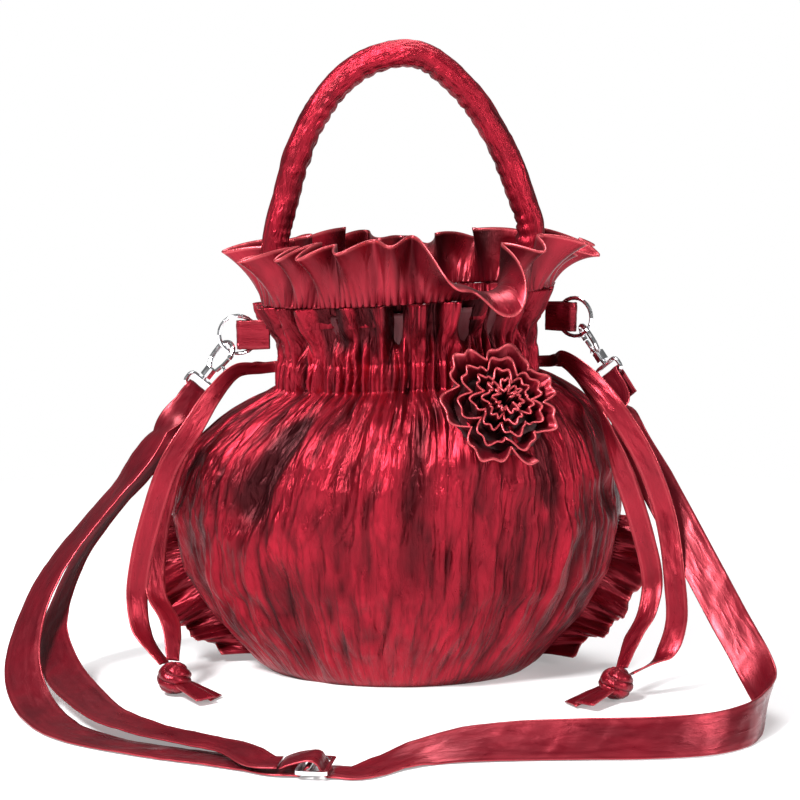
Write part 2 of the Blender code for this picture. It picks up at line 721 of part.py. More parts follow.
def make_ring(group, material, name, frame):
    ring = [
        frame.ring_centre + (frame.out * math.cos(a) + Vector((0, 0, 1)) * math.sin(a)) * RING_RADIUS
        for a in np.linspace(0, 2 * math.pi, 24, endpoint=False)
    ]
    mesh = curve_tube(name, ring, RING_WIRE, cyclic=True)
    return centred(add_mesh(name, mesh, material, group), frame.ring_centre)


def rod_mesh(name, start, end, radius, segments=14):
    axis = end - start
    rod = bmesh.new()
    bmesh.ops.create_cone(
        rod, cap_ends=True, segments=segments, radius1=radius, radius2=radius, depth=axis.length
    )
    turn = axis.to_track_quat("Z", "Y").to_matrix().to_4x4()
    place = Matrix.Translation((start + end) / 2) @ turn
    bmesh.ops.transform(rod, matrix=place, verts=rod.verts)
    mesh = bpy.data.meshes.new(name)
    rod.to_mesh(mesh)
    rod.free()
    return mesh


def add_boolean(item, tool_mesh, operation, cutters):
    tool = bpy.data.objects.new(item.name + "_tool_" + str(len(item.modifiers)), tool_mesh)
    cutters.objects.link(tool)
    tool.hide_render = True
    tool.display_type = "WIRE"
    change = item.modifiers.new(operation.title(), "BOOLEAN")
    change.operation = operation
    change.solver = "EXACT"
    change.object = tool
    return item


def applied(item):
    """Replaces an object's mesh by its evaluated one and drops its modifiers."""
    bpy.context.view_layer.update()
    graph = bpy.context.evaluated_depsgraph_get()
    mesh = bpy.data.meshes.new_from_object(item.evaluated_get(graph))
    item.modifiers.clear()
    item.data = mesh
    return item


def make_hook(group, cutters, material, name, frame):
    """A bent hook whose shank runs into a bored barrel."""
    bend = [
        frame.hook_point(-HOOK_BEND * math.sin(a), HOOK_BEND * math.cos(a))
        for a in np.radians(np.linspace(0, 180, 13))
    ]
    tip = [frame.hook_point(0.0006, HOOK_BEND)]
    shank = [
        frame.hook_point(0.0035, -HOOK_BEND),
        frame.hook_point(0.0064, -0.92 * HOOK_BEND),
        frame.hook_point(0.0090, -0.60 * HOOK_BEND),
        frame.hook_point(BARREL_START + 0.0008, -0.28 * HOOK_BEND),
    ]
    mesh = curve_tube(name, tip + bend + shank, HOOK_WIRE)
    hook = add_mesh(name, mesh, material, group)
    barrel = rod_mesh(
        name + "_barrel", frame.hook_point(BARREL_START, 0), frame.hook_point(BARREL_END, 0), BARREL_RADIUS
    )
    add_boolean(hook, barrel, "UNION", cutters)
    bore = rod_mesh(
        name + "_bore",
        frame.hook_point(BARREL_START + BORE_FLOOR, 0),
        frame.hook_point(BARREL_END + 0.001, 0),
        POST_RADIUS + BORE_CLEARANCE,
    )
    add_boolean(hook, bore, "DIFFERENCE", cutters)
    applied(hook)
    return centred(hook, frame.hook_point(BARREL_END, 0))


def make_eye(group, cutters, material, name, frame):
    """A loop for the strap, with a post that turns in the hook's barrel."""
    path = []
    for along, sideways, start in (
        (EYE_FAR, EYE_HALF_WIDTH, 0), (EYE_FAR, -EYE_HALF_WIDTH, 90),
        (EYE_NEAR, -EYE_HALF_WIDTH, 180), (EYE_NEAR, EYE_HALF_WIDTH, 270),
    ):
        inward_s = -EYE_CORNER if along == EYE_FAR else EYE_CORNER
        inward_l = -EYE_CORNER if sideways > 0 else EYE_CORNER
        for b in np.radians(np.linspace(90 - start, 0 - start, 4)):
            path.append(frame.eye_point(
                along + inward_s + EYE_CORNER * math.cos(b), sideways + inward_l + EYE_CORNER * math.sin(b)
            ))
    mesh = curve_tube(name, path, EYE_WIRE, cyclic=True)
    eye = add_mesh(name, mesh, material, group)
    post = rod_mesh(
        name + "_post",
        frame.eye_point(BARREL_START + BORE_FLOOR + BORE_CLEARANCE, 0),
        frame.eye_point(EYE_NEAR, 0),
        POST_RADIUS * POST_SHARE,
    )
    add_boolean(eye, post, "UNION", cutters)
    return applied(eye)


def make_trigger(group, cutters, material, name, frame):
    """A short lever from the barrel's side to the hook's tip, with a thumb stud."""
    lever = [
        frame.hook_point(TRIGGER_PIVOT + 0.0004, TRIGGER_SIDE),
        frame.hook_point(*LEVER_MIDDLE),
        frame.hook_point(LEVER_TIP, HOOK_BEND),
    ]
    trigger = add_mesh(name, curve_tube(name, lever, TRIGGER_RADIUS), material, group)
    stud = rod_mesh(
        name + "_stud", frame.hook_point(*STUD_ROOT), frame.hook_point(*STUD_TIP), STUD_RADIUS, 10
    )
    add_boolean(trigger, stud, "UNION", cutters)
    applied(trigger)
    return centred(trigger, frame.hook_point(TRIGGER_PIVOT, TRIGGER_SIDE))


# Flat bands: straps and drawcords
def flat_band(name, path, broad, widths, thickness):
    """A flat tube along a path: four corners at each point, broad along the given directions."""
    along = np.gradient(path, axis=0)
    along /= np.linalg.norm(along, axis=1, keepdims=True)
    broad = broad - along * np.sum(broad * along, axis=1, keepdims=True)
    broad /= np.linalg.norm(broad, axis=1, keepdims=True)
    thin = np.cross(along, broad)
    wide = broad * widths[:, None] / 2
    lowest = path[:, 2] - np.abs(wide[:, 2]) - np.abs(thin[:, 2]) * thickness / 2
    path = path + np.array([0, 0, 1]) * np.maximum(0.0, SEAT_GAP - lowest)[:, None]
    over = np.stack([path - wide + thin * thickness / 2, path + wide + thin * thickness / 2])
    under = np.stack([path - wide - thin * thickness / 2, path + wide - thin * thickness / 2])
    return closed_loft(name, over, under)


def sparse_path(points, longest, bend):
    """Spline points kept where the route has run on or turned far enough."""
    dense = dense_path(points)
    steps = np.diff(dense, axis=0)
    lengths = np.linalg.norm(steps, axis=1)
    ways = steps / lengths[:, None]
    kept, run = [0], 0.0
    way = ways[0]
    for i in range(1, len(dense) - 1):
        run += lengths[i - 1]
        turned = math.degrees(math.acos(min(1.0, float(np.dot(way, ways[i])))))
        if run >= longest or (turned >= bend and run > longest * 0.05):
            kept.append(i)
            run, way = 0.0, ways[i]
    return dense[kept + [len(dense) - 1]]


def spread(points, directions, widths, longest, bend):
    """Samples a route, and carries its broad directions and widths along by length."""
    points = np.asarray(points, float)
    path = sparse_path(points, longest, bend)
    reach = np.concatenate([[0], np.cumsum(np.linalg.norm(np.diff(path, axis=0), axis=1))])
    marks = [reach[np.argmin(np.linalg.norm(path - p, axis=1))] for p in points]
    marks = np.maximum.accumulate(np.array(marks) + np.arange(len(marks)) * 1e-9)
    directions = np.asarray(directions, float)
    broad = np.column_stack([np.interp(reach, marks, directions[:, k]) for k in range(3)])
    return path, broad, np.interp(reach, marks, widths)


def slider_point(along, across, height):
    turn = math.radians(SLIDER_TURN)
    x = SLIDER_CENTRE[0] + along * math.cos(turn) - across * math.sin(turn)
    y = SLIDER_CENTRE[1] + along * math.sin(turn) + across * math.cos(turn)
    return (x, y, height)


def eye_wrap(frame, start, end, steps=7):
    """Points round the eye's outer bar, from one side of the strap to the other."""
    radius = EYE_WIRE + SEAT_GAP + STRAP_THICKNESS / 2 + WRAP_EASE
    turns = np.radians(np.linspace(start, end, steps))
    return [
        frame.eye_bar - frame.hang * radius * math.cos(a) + frame.normal * radius * math.sin(a)
        for a in turns
    ]


def strap_routes(left, right):
    """The three strap stretches as rows of place, broad direction and width."""
    turn = math.radians(SLIDER_TURN)
    flat = (-math.sin(turn), math.cos(turn), 0.0)
    low = STRAP_THICKNESS / 2 + SEAT_GAP
    upright = tuple(right.across)
    back = right.normal if right.normal.y > 0 else -right.normal
    sign = 1 if right.normal.y > 0 else -1
    wrap = eye_wrap(right, 90 * sign, -90 * sign)
    tail = [wrap[0] + right.hang * 0.013 + back * 0.0002, wrap[0] + right.hang * 0.006]
    run = [(tuple(p), upright, EYE_STRAP_WIDTH) for p in tail + wrap]
    run += [
        (tuple(wrap[-1] + right.hang * 0.008 - back * 0.0008), upright, EYE_STRAP_WIDTH),
        ((0.1100, -0.0175, 0.1215), (0.86, 0.05, 0.45), 0.0150),
        ((0.1240, -0.0205, 0.0975), (0.88, 0.05, 0.42), STRAP_WIDTH),
        ((0.1340, -0.0300, 0.0752), (0.88, 0.10, 0.45), STRAP_WIDTH),
        ((0.1440, -0.0430, 0.0570), (0.85, 0.15, 0.50), STRAP_WIDTH),
        ((0.1550, -0.0640, 0.0364), (0.75, 0.25, 0.60), STRAP_WIDTH),
        ((0.1650, -0.0780, 0.0200), (0.60, 0.30, 0.70), STRAP_WIDTH),
        ((0.1680, -0.0950, 0.0118), (0.40, 0.20, 0.90), STRAP_WIDTH),
        ((0.1600, -0.1150, 0.0095), (0.10, 0.25, 0.95), STRAP_WIDTH),
        ((0.1426, -0.1305, 0.0090), (0.00, 0.35, 0.93), STRAP_WIDTH),
        ((0.1234, -0.1385, 0.0088), (0.00, 0.45, 0.89), STRAP_WIDTH),
        ((0.0971, -0.1420, 0.0082), (0.00, 0.60, 0.80), STRAP_WIDTH),
        ((0.0710, -0.1450, 0.0070), (0.00, 0.80, 0.60), STRAP_WIDTH),
        ((0.0480, -0.1530, 0.0046), (-0.30, 0.90, 0.30), STRAP_WIDTH),
        ((0.0230, -0.1680, low + 0.001), (-0.35, 0.93, 0.05), STRAP_WIDTH),
        ((0.0040, -0.1820, low), (-0.35, 0.93, 0.0), STRAP_WIDTH),
    ]
    for along, height in (
        (0.0180, low), (0.0110, low), (0.0062, low + 0.0001), (0.0034, 0.0034), (0.0014, 0.0068),
        (-0.0010, 0.0076), (-0.0050, 0.0070), (-0.0100, 0.0056), (-0.0140, 0.0040),
    ):
        run.append((slider_point(along, 0.0, height), flat, STRAP_WIDTH))
    left_back = left.normal if left.normal.y > 0 else -left.normal
    sign = 1 if left.normal.y > 0 else -1
    over = eye_wrap(left, -90 * sign, 20 * sign, 6)
    beyond = eye_wrap(left, 45 * sign, 90 * sign, 3)
    side = tuple(left.across)
    outer = [(slider_point(-0.0012, 0.0, 0.0053), flat, STRAP_WIDTH)]
    for along, height in (
        (-0.0022, 0.0050), (-0.0036, 0.0030), (-0.0054, low), (-0.0100, low), (-0.0160, low),
    ):
        outer.append((slider_point(along, 0.0, height), flat, STRAP_WIDTH))
    outer += [
        ((-0.0620, -0.1740, low), (0.40, 0.90, 0.0), STRAP_WIDTH),
        ((-0.0800, -0.1660, low), (0.25, 0.95, 0.0), STRAP_WIDTH),
        ((-0.1054, -0.1610, low), (0.20, 0.96, 0.0), STRAP_WIDTH),
        ((-0.1290, -0.1480, low), (0.55, 0.80, 0.05), STRAP_WIDTH),
        ((-0.1500, -0.1240, low + 0.0006), (0.80, 0.55, 0.15), STRAP_WIDTH),
        ((-0.1680, -0.0920, 0.0052), (0.90, 0.25, 0.30), STRAP_WIDTH),
        ((-0.1800, -0.0600, 0.0150), (0.95, 0.05, 0.35), STRAP_WIDTH),
        ((-0.1800, -0.0380, 0.0350), (0.97, 0.0, 0.20), STRAP_WIDTH),
        ((-0.1700, -0.0270, 0.0570), (0.90, 0.0, 0.40), STRAP_WIDTH),
        ((-0.1530, -0.0180, 0.0755), (0.75, 0.0, 0.60), STRAP_WIDTH),
        ((-0.1340, -0.0100, 0.0935), (0.65, 0.0, 0.70), STRAP_WIDTH),
        ((-0.1150, -0.0030, 0.1160), (0.72, 0.0, 0.65), 0.0150),
        (tuple(over[0] + left.hang * 0.008 - left_back * 0.001), side, EYE_STRAP_WIDTH),
    ]
    outer += [(tuple(p), side, EYE_STRAP_WIDTH) for p in over]
    back_run = [(tuple(p), side, EYE_STRAP_WIDTH) for p in beyond]
    back_run += [
        (tuple(beyond[-1] + left.hang * 0.008 + left_back * 0.001), side, EYE_STRAP_WIDTH),
        ((-0.1100, 0.0080, 0.1120), (0.75, 0.0, 0.65), 0.0150),
        ((-0.1210, 0.0060, 0.0960), (0.75, 0.0, 0.65), STRAP_WIDTH),
        ((-0.1370, 0.0010, 0.0780), (0.80, 0.0, 0.60), STRAP_WIDTH),
        ((-0.1480, -0.0090, 0.0600), (0.85, 0.0, 0.50), STRAP_WIDTH),
        ((-0.1540, -0.0210, 0.0440), (0.90, 0.0, 0.40), STRAP_WIDTH),
        ((-0.1565, -0.0420, 0.0280), (0.90, 0.05, 0.40), STRAP_WIDTH),
        ((-0.1530, -0.0660, 0.0175), (0.90, 0.15, 0.35), STRAP_WIDTH),
        ((-0.1430, -0.0930, 0.0115), (0.85, 0.45, 0.20), STRAP_WIDTH),
        ((-0.1290, -0.1160, 0.0075), (0.65, 0.75, 0.08), STRAP_WIDTH),
        ((-0.1120, -0.1310, 0.0054), (0.35, 0.93, 0.02), STRAP_WIDTH),
        ((-0.0900, -0.1420, 0.0044), (0.40, 0.91, 0.0), STRAP_WIDTH),
        ((-0.0700, -0.1570, 0.0040), (0.55, 0.83, 0.0), STRAP_WIDTH),
        (slider_point(-0.0225, 0.0005, 0.0038), flat, STRAP_WIDTH),
        (slider_point(-0.0180, 0.0, 0.0039), flat, STRAP_WIDTH),
        (slider_point(-0.0151, 0.0, 0.0040), flat, STRAP_WIDTH),
    ]
    return run, outer, back_run


def make_straps(group, material, left, right):
    run, outer, back_run = strap_routes(left, right)
    names = ("strap_right_run", "strap_left_outer", "strap_left_return")
    for name, rows in zip(names, (run, outer, back_run)):
        places, broad, widths = zip(*rows)
        path, directions, breadths = spread(places, broad, widths, 0.012, 14)
        mesh = flat_band(name, path, directions, breadths, STRAP_THICKNESS)
        add_mesh(name, mesh, material, group, smooth=False)


def make_slider(group, material):
    """A flat frame with two slots and a middle bar."""
    data = bpy.data.curves.new("strap_slider", "CURVE")
    data.dimensions = "2D"
    data.fill_mode = "BOTH"
    data.extrude = SLIDER_THICKNESS / 2
    data.render_resolution_u = 0
    half_long, half_wide = SLIDER_LENGTH / 2, SLIDER_WIDTH / 2
    slot = (SLIDER_LENGTH - 3 * SLIDER_BAR) / 4
    slot_middle = SLIDER_BAR / 2 + slot

    def rounded(cx, cy, hx, hy, radius):
        spline = data.splines.new("POLY")
        corners = []
        for sx, sy, start in ((1, 1, 0), (-1, 1, 90), (-1, -1, 180), (1, -1, 270)):
            for b in np.radians(np.linspace(start, start + 90, 4)):
                corners.append((
                    cx + sx * (hx - radius) + radius * math.cos(b),
                    cy + sy * (hy - radius) + radius * math.sin(b),
                ))
        spline.points.add(len(corners) - 1)
        for point, (x, y) in zip(spline.points, corners):
            point.co = (x, y, 0, 1)
        spline.use_cyclic_u = True

    rounded(0, 0, half_long, half_wide, SLIDER_CORNER)
    for sx in (-1, 1):
        rounded(sx * slot_middle, 0, slot, half_wide - SLIDER_BAR, SLOT_CORNER)
    turn = Matrix.Rotation(math.radians(SLIDER_TURN), 4, "Z")
    height = SLIDER_LIFT + SLIDER_THICKNESS / 2
    centre = Vector((*SLIDER_CENTRE, height))
    item = flat_solid("strap_slider", data, Matrix.Translation(centre) @ turn, group, material)
    return centred(item, centre)


def neck_stretch(side, lane):
    """The cord's way round inside the channel, starting and ending at its own side."""
    start = math.pi if side < 0 else 0.0
    turns = np.radians(np.linspace(14, 346, 34)) + start
    turns = (turns + math.pi) % (2 * math.pi) - math.pi
    height = (CHANNEL_LOW + CHANNEL_HIGH) / 2 + lane
    return ring_point(turns, np.full_like(turns, height), CORD_DEPTH)


def knot_seat(side, towards):
    """Where a tail meets its knot, on the side that faces the tail."""
    centre = np.array(LEFT_KNOT if side < 0 else RIGHT_KNOT)
    way = np.array(towards) - centre
    return tuple(centre + way / np.linalg.norm(way) * (KNOT_RADIUS * (1 + KNOT_DENT) + SEAT_GAP))


def drawcord_route(side):
    """From the knot up one tail, round the neck and back down the other tail."""
    lane = LANE_OFFSET if side < 0 else -LANE_OFFSET
    height = (CHANNEL_LOW + CHANNEL_HIGH) / 2 + lane
    neck = half_width(height)
    if side < 0:
        outer = [(-0.1212, -0.0460, 0.0270), (-0.1255, -0.0400, 0.0420),
                 (-0.1240, -0.0400, 0.0600), (-0.1190, -0.0390, 0.0800), (-0.1090, -0.0370, 0.1060),
                 (-0.0985, -0.0310, 0.1260), (-0.0890, -0.0220, 0.1400), (-0.0770, -0.0090, 0.1480)]
        inner = [(-0.0740, 0.0000, 0.1470), (-0.0840, -0.0080, 0.1390), (-0.0930, -0.0140, 0.1260),
                 (-0.1050, -0.0220, 0.1080), (-0.1130, -0.0270, 0.0800), (-0.1155, -0.0310, 0.0600),
                 (-0.1145, -0.0370, 0.0430), (-0.1075, -0.0430, 0.0310)]
    else:
        outer = [(0.1250, -0.0590, 0.0190), (0.1310, -0.0560, 0.0330),
                 (0.1305, -0.0530, 0.0530), (0.1265, -0.0440, 0.0830), (0.1160, -0.0430, 0.1110),
                 (0.1010, -0.0370, 0.1350), (0.0890, -0.0250, 0.1480), (0.0790, -0.0100, 0.1540)]
        inner = [(0.0790, 0.0010, 0.1510), (0.0880, -0.0120, 0.1440), (0.0970, -0.0310, 0.1290),
                 (0.1080, -0.0360, 0.1000), (0.1170, -0.0370, 0.0720), (0.1215, -0.0380, 0.0500),
                 (0.1185, -0.0440, 0.0360), (0.1115, -0.0510, 0.0255)]
    outer = [knot_seat(side, outer[0])] + outer
    inner = inner + [knot_seat(side, inner[-1])]
    front_exit = [
        (neck + 0.0065, SEAM_Y - 0.0050), (neck + 0.0010, SEAM_Y - 0.0026), (neck - 0.0042, SEAM_Y - 0.0044),
    ]
    back_exit = [
        (neck - 0.0042, SEAM_Y + 0.0044), (neck + 0.0010, SEAM_Y + 0.0026), (neck + 0.0060, SEAM_Y + 0.0010),
    ]
    around = neck_stretch(side, lane)
    if side > 0:
        around = around[::-1]
    first = lean([(side * x, y, height) for x, y in front_exit])
    last = lean([(side * x, y, height) for x, y in back_exit])
    points = np.vstack([outer, first, lean(around), last, inner])
    broad, widths = [], []
    for i in range(len(points)):
        tail_steps = min(i, len(points) - 1 - i)
        on_shoulder = i > len(points) / 2 and tail_steps in (6, 7, 8)
        if on_shoulder:
            broad.append((0.25 * side, -0.85, 0.25))
            widths.append(0.0075)
        elif tail_steps < 7:
            broad.append((0.80 * side, -0.25, 0.45))
            widths.append(CORD_WIDTH if tail_steps else KNOT_END_WIDTH)
        elif tail_steps == 7:
            broad.append((0.55 * side, -0.2, 0.80))
            widths.append(0.0090)
        elif tail_steps == 8:
            broad.append((0.2 * side, 0.0, 1.0))
            widths.append(0.0070)
        else:
            broad.append((0.0, 0.0, 1.0))
            widths.append(LANE_WIDTH)
    return points, broad, widths


def make_drawcords(group, material):
    for name, side in (("left_drawcord", -1), ("right_drawcord", 1)):
        points, broad, widths = drawcord_route(side)
        path, directions, breadths = spread(points, broad, widths, 0.011, 12)
        mesh = flat_band(name, path, directions, breadths, CORD_THICKNESS)
        add_mesh(name, mesh, material, group, smooth=False)


def make_knots(group, cutters, material):
    """A round knot on the table with the two flat tail ends that come out of it."""
    for name, centre, ends in (
        ("left_knot", LEFT_KNOT, ((-0.0840, -0.0690), (-0.0880, -0.0790))),
        ("right_knot", RIGHT_KNOT, ((0.0800, -0.0800), (0.0860, -0.0880))),
    ):
        ball = bmesh.new()
        bmesh.ops.create_uvsphere(ball, u_segments=12, v_segments=7, radius=KNOT_RADIUS)
        for vert in ball.verts:
            turn = math.atan2(vert.co.y, vert.co.x)
            dent = 1 - KNOT_DENT * math.cos(2 * turn + 9 * vert.co.z / KNOT_RADIUS)
            vert.co = Vector((vert.co.x * dent, vert.co.y * dent, vert.co.z * 0.92))
        bmesh.ops.transform(ball, matrix=Matrix.Translation(centre), verts=ball.verts)
        mesh = bpy.data.meshes.new(name)
        ball.to_mesh(mesh)
        ball.free()
        knot = add_mesh(name, mesh, material, group)
        for k, (x, y) in enumerate(ends):
            low = 0.0012 + 0.0022 * k
            points = [centre, ((2 * centre[0] + x) / 3, (2 * centre[1] + y) / 3, 0.0062), (x, y, low)]
            path = smooth_path(points, 6)
            along = path[-1] - path[0]
            broad = np.tile(np.array([-along[1], along[0], 0.0]), (6, 1))
            widths = np.linspace(TAIL_ROOT_WIDTH, CORD_WIDTH, 6)
            tail = flat_band(name + "_tail", path, broad, widths, TAIL_THICKNESS)
            add_boolean(knot, tail, "UNION", cutters)
        applied(knot)


def main():
    clear_scene()
    bag = new_collection("Kinchaku bag")
    cutters = new_collection("Cutters")
    cloth = finish_material("Crinkled satin", CRIMSON, 0.42, 0.0)
    satin = finish_material("Plain satin", SATIN, 0.34, 0.0)
    inside = finish_material("Lining satin", WINE, 0.55, 0.0)
    metal = finish_material("Bright chrome", CHROME, 0.16, 1.0)
    front, _ = make_panels(bag, cloth)
    make_lining(bag, inside)
    make_frill(bag, satin)
    make_ruffle(bag, satin, "left_side_ruffle", -1)
    make_ruffle(bag, satin, "right_side_ruffle", 1)
    make_handle(bag, cloth)
    make_rosette(bag, satin, inside, front)
    sides = {}
    for word, side, turn in (("left", -1, LEFT_TURN), ("right", 1, RIGHT_TURN)):
        frame = SideFrame(side, turn)
        sides[word] = frame
        make_tab(bag, satin, word + "_ring_tab", frame)
        make_ring(bag, metal, word + "_ring", frame)
        make_hook(bag, cutters, metal, word + "_clasp_hook", frame)
        make_trigger(bag, cutters, metal, word + "_clasp_trigger", frame)
        make_eye(bag, cutters, metal, word + "_clasp_eye", frame)
    make_straps(bag, satin, sides["left"], sides["right"])
    make_slider(bag, metal)
    make_drawcords(bag, satin)
    make_knots(bag, cutters, satin)


main()
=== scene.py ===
import math

import bpy
import numpy as np
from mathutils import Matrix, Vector


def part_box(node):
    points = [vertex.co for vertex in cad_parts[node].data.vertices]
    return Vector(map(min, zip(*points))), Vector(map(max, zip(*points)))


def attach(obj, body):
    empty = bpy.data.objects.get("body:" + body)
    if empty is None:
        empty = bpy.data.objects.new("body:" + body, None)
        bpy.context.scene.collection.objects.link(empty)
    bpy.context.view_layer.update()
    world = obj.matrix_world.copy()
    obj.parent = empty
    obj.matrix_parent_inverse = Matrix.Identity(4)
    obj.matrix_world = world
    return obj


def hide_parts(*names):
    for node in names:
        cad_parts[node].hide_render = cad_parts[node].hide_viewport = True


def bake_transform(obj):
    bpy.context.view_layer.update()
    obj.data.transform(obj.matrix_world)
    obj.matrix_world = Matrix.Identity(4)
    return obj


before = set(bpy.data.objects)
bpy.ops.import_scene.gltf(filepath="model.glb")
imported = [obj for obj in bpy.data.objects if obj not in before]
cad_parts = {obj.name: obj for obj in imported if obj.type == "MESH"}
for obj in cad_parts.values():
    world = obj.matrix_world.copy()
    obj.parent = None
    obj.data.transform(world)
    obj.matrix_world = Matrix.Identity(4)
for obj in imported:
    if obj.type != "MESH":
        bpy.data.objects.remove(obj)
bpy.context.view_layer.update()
print("frame loaded")

# sizes that every piece shares, in metres, as in the solids
bag = {
    "halfWidth": 0.111, "halfDepth": 0.075, "neckWidth": 0.0635, "neckDepth": 0.046,
    "collarWidth": 0.0715, "collarDepth": 0.054, "channelLow": 0.1427, "channelHigh": 0.1553,
    "stitch": 0.0012, "collarTop": 0.183, "seamY": 0.006, "shift": 0.005, "tilt": 0.069,
    "leanLow": 0.085, "leanHigh": 0.142, "gap": 0.0003,
}
# height as a share of the channel's lower edge, then width and depth as shares of the widest place
bellyProfile = [
    (0.000, 0.585, 0.600), (0.028, 0.640, 0.650), (0.096, 0.715, 0.730), (0.194, 0.830, 0.845),
    (0.350, 0.950, 0.950), (0.540, 1.000, 1.000), (0.700, 0.975, 0.975), (0.800, 0.910, 0.925),
    (0.905, 0.790, 0.815), (0.965, 0.660, 0.700),
]


def smoothStep(value, low, high):
    share = np.clip((np.asarray(value, float) - low) / (high - low), 0.0, 1.0)
    return share * share * (3.0 - 2.0 * share)


def gradientNoise(x, y, seed):
    # smooth random values from 0 to 1 on a 64 by 64 lattice that repeats
    table = np.random.default_rng(seed).random((64, 64))
    x, y = np.broadcast_arrays(np.asarray(x, float), np.asarray(y, float))
    cellX, cellY = np.floor(x).astype(int), np.floor(y).astype(int)
    partX, partY = x - cellX, y - cellY
    partX, partY = partX * partX * (3 - 2 * partX), partY * partY * (3 - 2 * partY)
    x0, x1, y0, y1 = cellX % 64, (cellX + 1) % 64, cellY % 64, (cellY + 1) % 64
    low = table[y0, x0] * (1 - partX) + table[y0, x1] * partX
    high = table[y1, x0] * (1 - partX) + table[y1, x1] * partX
    return low * (1 - partY) + high * partY


def ridge(x, y, seed):
    # noise folded at its middle, so that it has sharp crests: one less twice the distance from one half
    return 1 - 2 * np.abs(gradientNoise(x, y, seed) - 0.5)


def creases(x, y, width, seed):
    # thin lines where smooth noise crosses its middle value: one on the line, nought a width away
    return np.clip(1 - np.abs(gradientNoise(x, y, seed) - 0.5) / width, 0, 1)


def lean(points):
    # the mouth is shifted to the right and its right side is higher, by a smooth step with height
    moved = np.array(points, float)
    share = smoothStep(moved[..., 2], bag["leanLow"], bag["leanHigh"])
    moved[..., 2] += bag["tilt"] * moved[..., 0] * share
    moved[..., 0] += bag["shift"] * share
    return moved


def outlineTable():
    rows = [(h * bag["channelLow"], w * bag["halfWidth"], d * bag["halfDepth"]) for h, w, d in bellyProfile]
    low, high, top = bag["channelLow"], bag["channelHigh"], bag["collarTop"]
    width, depth, rise = bag["neckWidth"], bag["neckDepth"], bag["collarTop"] - bag["channelHigh"]
    rows += [
        (low - bag["stitch"], width + 0.0012, depth + 0.0012), (low, width + 0.0005, depth + 0.0005),
        ((low + high) / 2, width, depth), (high, width - 0.0005, depth - 0.0005),
        (high + bag["stitch"], width - 0.0008, depth - 0.0008), (high + 0.42 * rise, width, depth + 0.0010),
        (high + 0.74 * rise, bag["collarWidth"] - 0.0035, bag["collarDepth"] - 0.0030),
        (top, bag["collarWidth"], bag["collarDepth"]),
    ]
    coarse = np.array(rows)
    # the corners of the outline are rounded, except beside the channel
    z = np.linspace(0, top, 733)
    kernel = np.exp(-np.linspace(-2.5, 2.5, 61) ** 2)
    kernel /= kernel.sum()
    keep = smoothStep(z, 0.136, 0.140) * (1 - smoothStep(z, 0.158, 0.162)) + 1 - smoothStep(z, 0.002, 0.010)
    columns = [z]
    for k in (1, 2):
        sharp = np.interp(z, coarse[:, 0], coarse[:, k])
        padded = np.concatenate([np.full(30, sharp[0]), sharp, np.full(30, sharp[-1])])
        soft = np.convolve(padded, kernel, mode="valid")
        columns.append(sharp * np.clip(keep, 0, 1) + soft * (1 - np.clip(keep, 0, 1)))
    return np.column_stack(columns)


outline = outlineTable()


def halfWidth(z):
    return np.interp(z, outline[:, 0], outline[:, 1])


def halfDepth(z):
    return np.interp(z, outline[:, 0], outline[:, 2])


def ringPoint(angle, z, inset=0.0):
    # an ellipse at each height, deeper at the front than at the back, with its middle on the seam
    angle, z, inset = np.broadcast_arrays(np.asarray(angle, float), z, inset)
    depth = halfDepth(z) + np.where(np.sin(angle) < 0, bag["seamY"], -bag["seamY"]) - inset
    return np.stack(
        [(halfWidth(z) - inset) * np.cos(angle), bag["seamY"] + depth * np.sin(angle), z], axis=-1
    )


def pushed(points, amount):
    # moves points outwards from the upright axis by that amount
    out = np.array(points, float)
    centre = np.array([0.0, bag["seamY"]])
    flat = out[..., :2] - centre
    reach = np.maximum(np.linalg.norm(flat, axis=-1), 1e-9)
    out[..., :2] = centre + flat * (1 + amount / np.maximum(reach, 0.02))[..., None]
    return out


def gridFaces(rows, columns, wrap, first=0):
    r = np.arange(rows - 1)[:, None]
    c = np.arange(columns if wrap else columns - 1)[None, :]
    a, b = r * columns + c, r * columns + (c + 1) % columns
    return np.stack([a, b, b + columns, a + columns], axis=-1).reshape(-1, 4) + first


def meshFrom(name, points, faces, uv, material, edge=None, shade=None):
    # one mesh from whole arrays; edge marks stitched borders, and shade marks how deep in a fold a point
    # lies, stored as the fold attribute, which darkens the colour as painted shade
    mesh = bpy.data.meshes.new(name)
    points = np.ascontiguousarray(points, np.float32)
    faces = np.ascontiguousarray(faces, np.int32)
    count = faces.shape[1]
    mesh.vertices.add(len(points))
    mesh.vertices.foreach_set("co", points.ravel())
    mesh.loops.add(faces.size)
    mesh.loops.foreach_set("vertex_index", faces.ravel())
    mesh.polygons.add(len(faces))
    mesh.polygons.foreach_set("loop_start", np.arange(0, faces.size, count, dtype=np.int32))
    mesh.update(calc_edges=True)
    layer = mesh.uv_layers.new(name="cloth")
    layer.data.foreach_set("uv", np.ascontiguousarray(uv[faces.ravel()], np.float32).ravel())
    for label, values in (("edge", edge), ("fold", shade)):
        attribute = mesh.attributes.new(label, "FLOAT", "POINT")
        values = np.zeros(len(points)) if values is None else np.asarray(values, float).ravel()
        attribute.data.foreach_set("value", values.astype(np.float32))
    mesh.validate()
    mesh.shade_smooth()
    mesh.materials.append(material)
    item = bpy.data.objects.new(name, mesh)
    bpy.context.scene.collection.objects.link(item)
    return item


def gridNormals(points, wrap):
    if wrap:
        wide = np.concatenate([points[:, -1:], points, points[:, :1]], axis=1)
        along = (wide[:, 2:] - wide[:, :-2]) / 2
    else:
        along = np.gradient(points, axis=1)
    normal = np.cross(along, np.gradient(points, axis=0))
    return normal / np.maximum(np.linalg.norm(normal, axis=-1, keepdims=True), 1e-12)


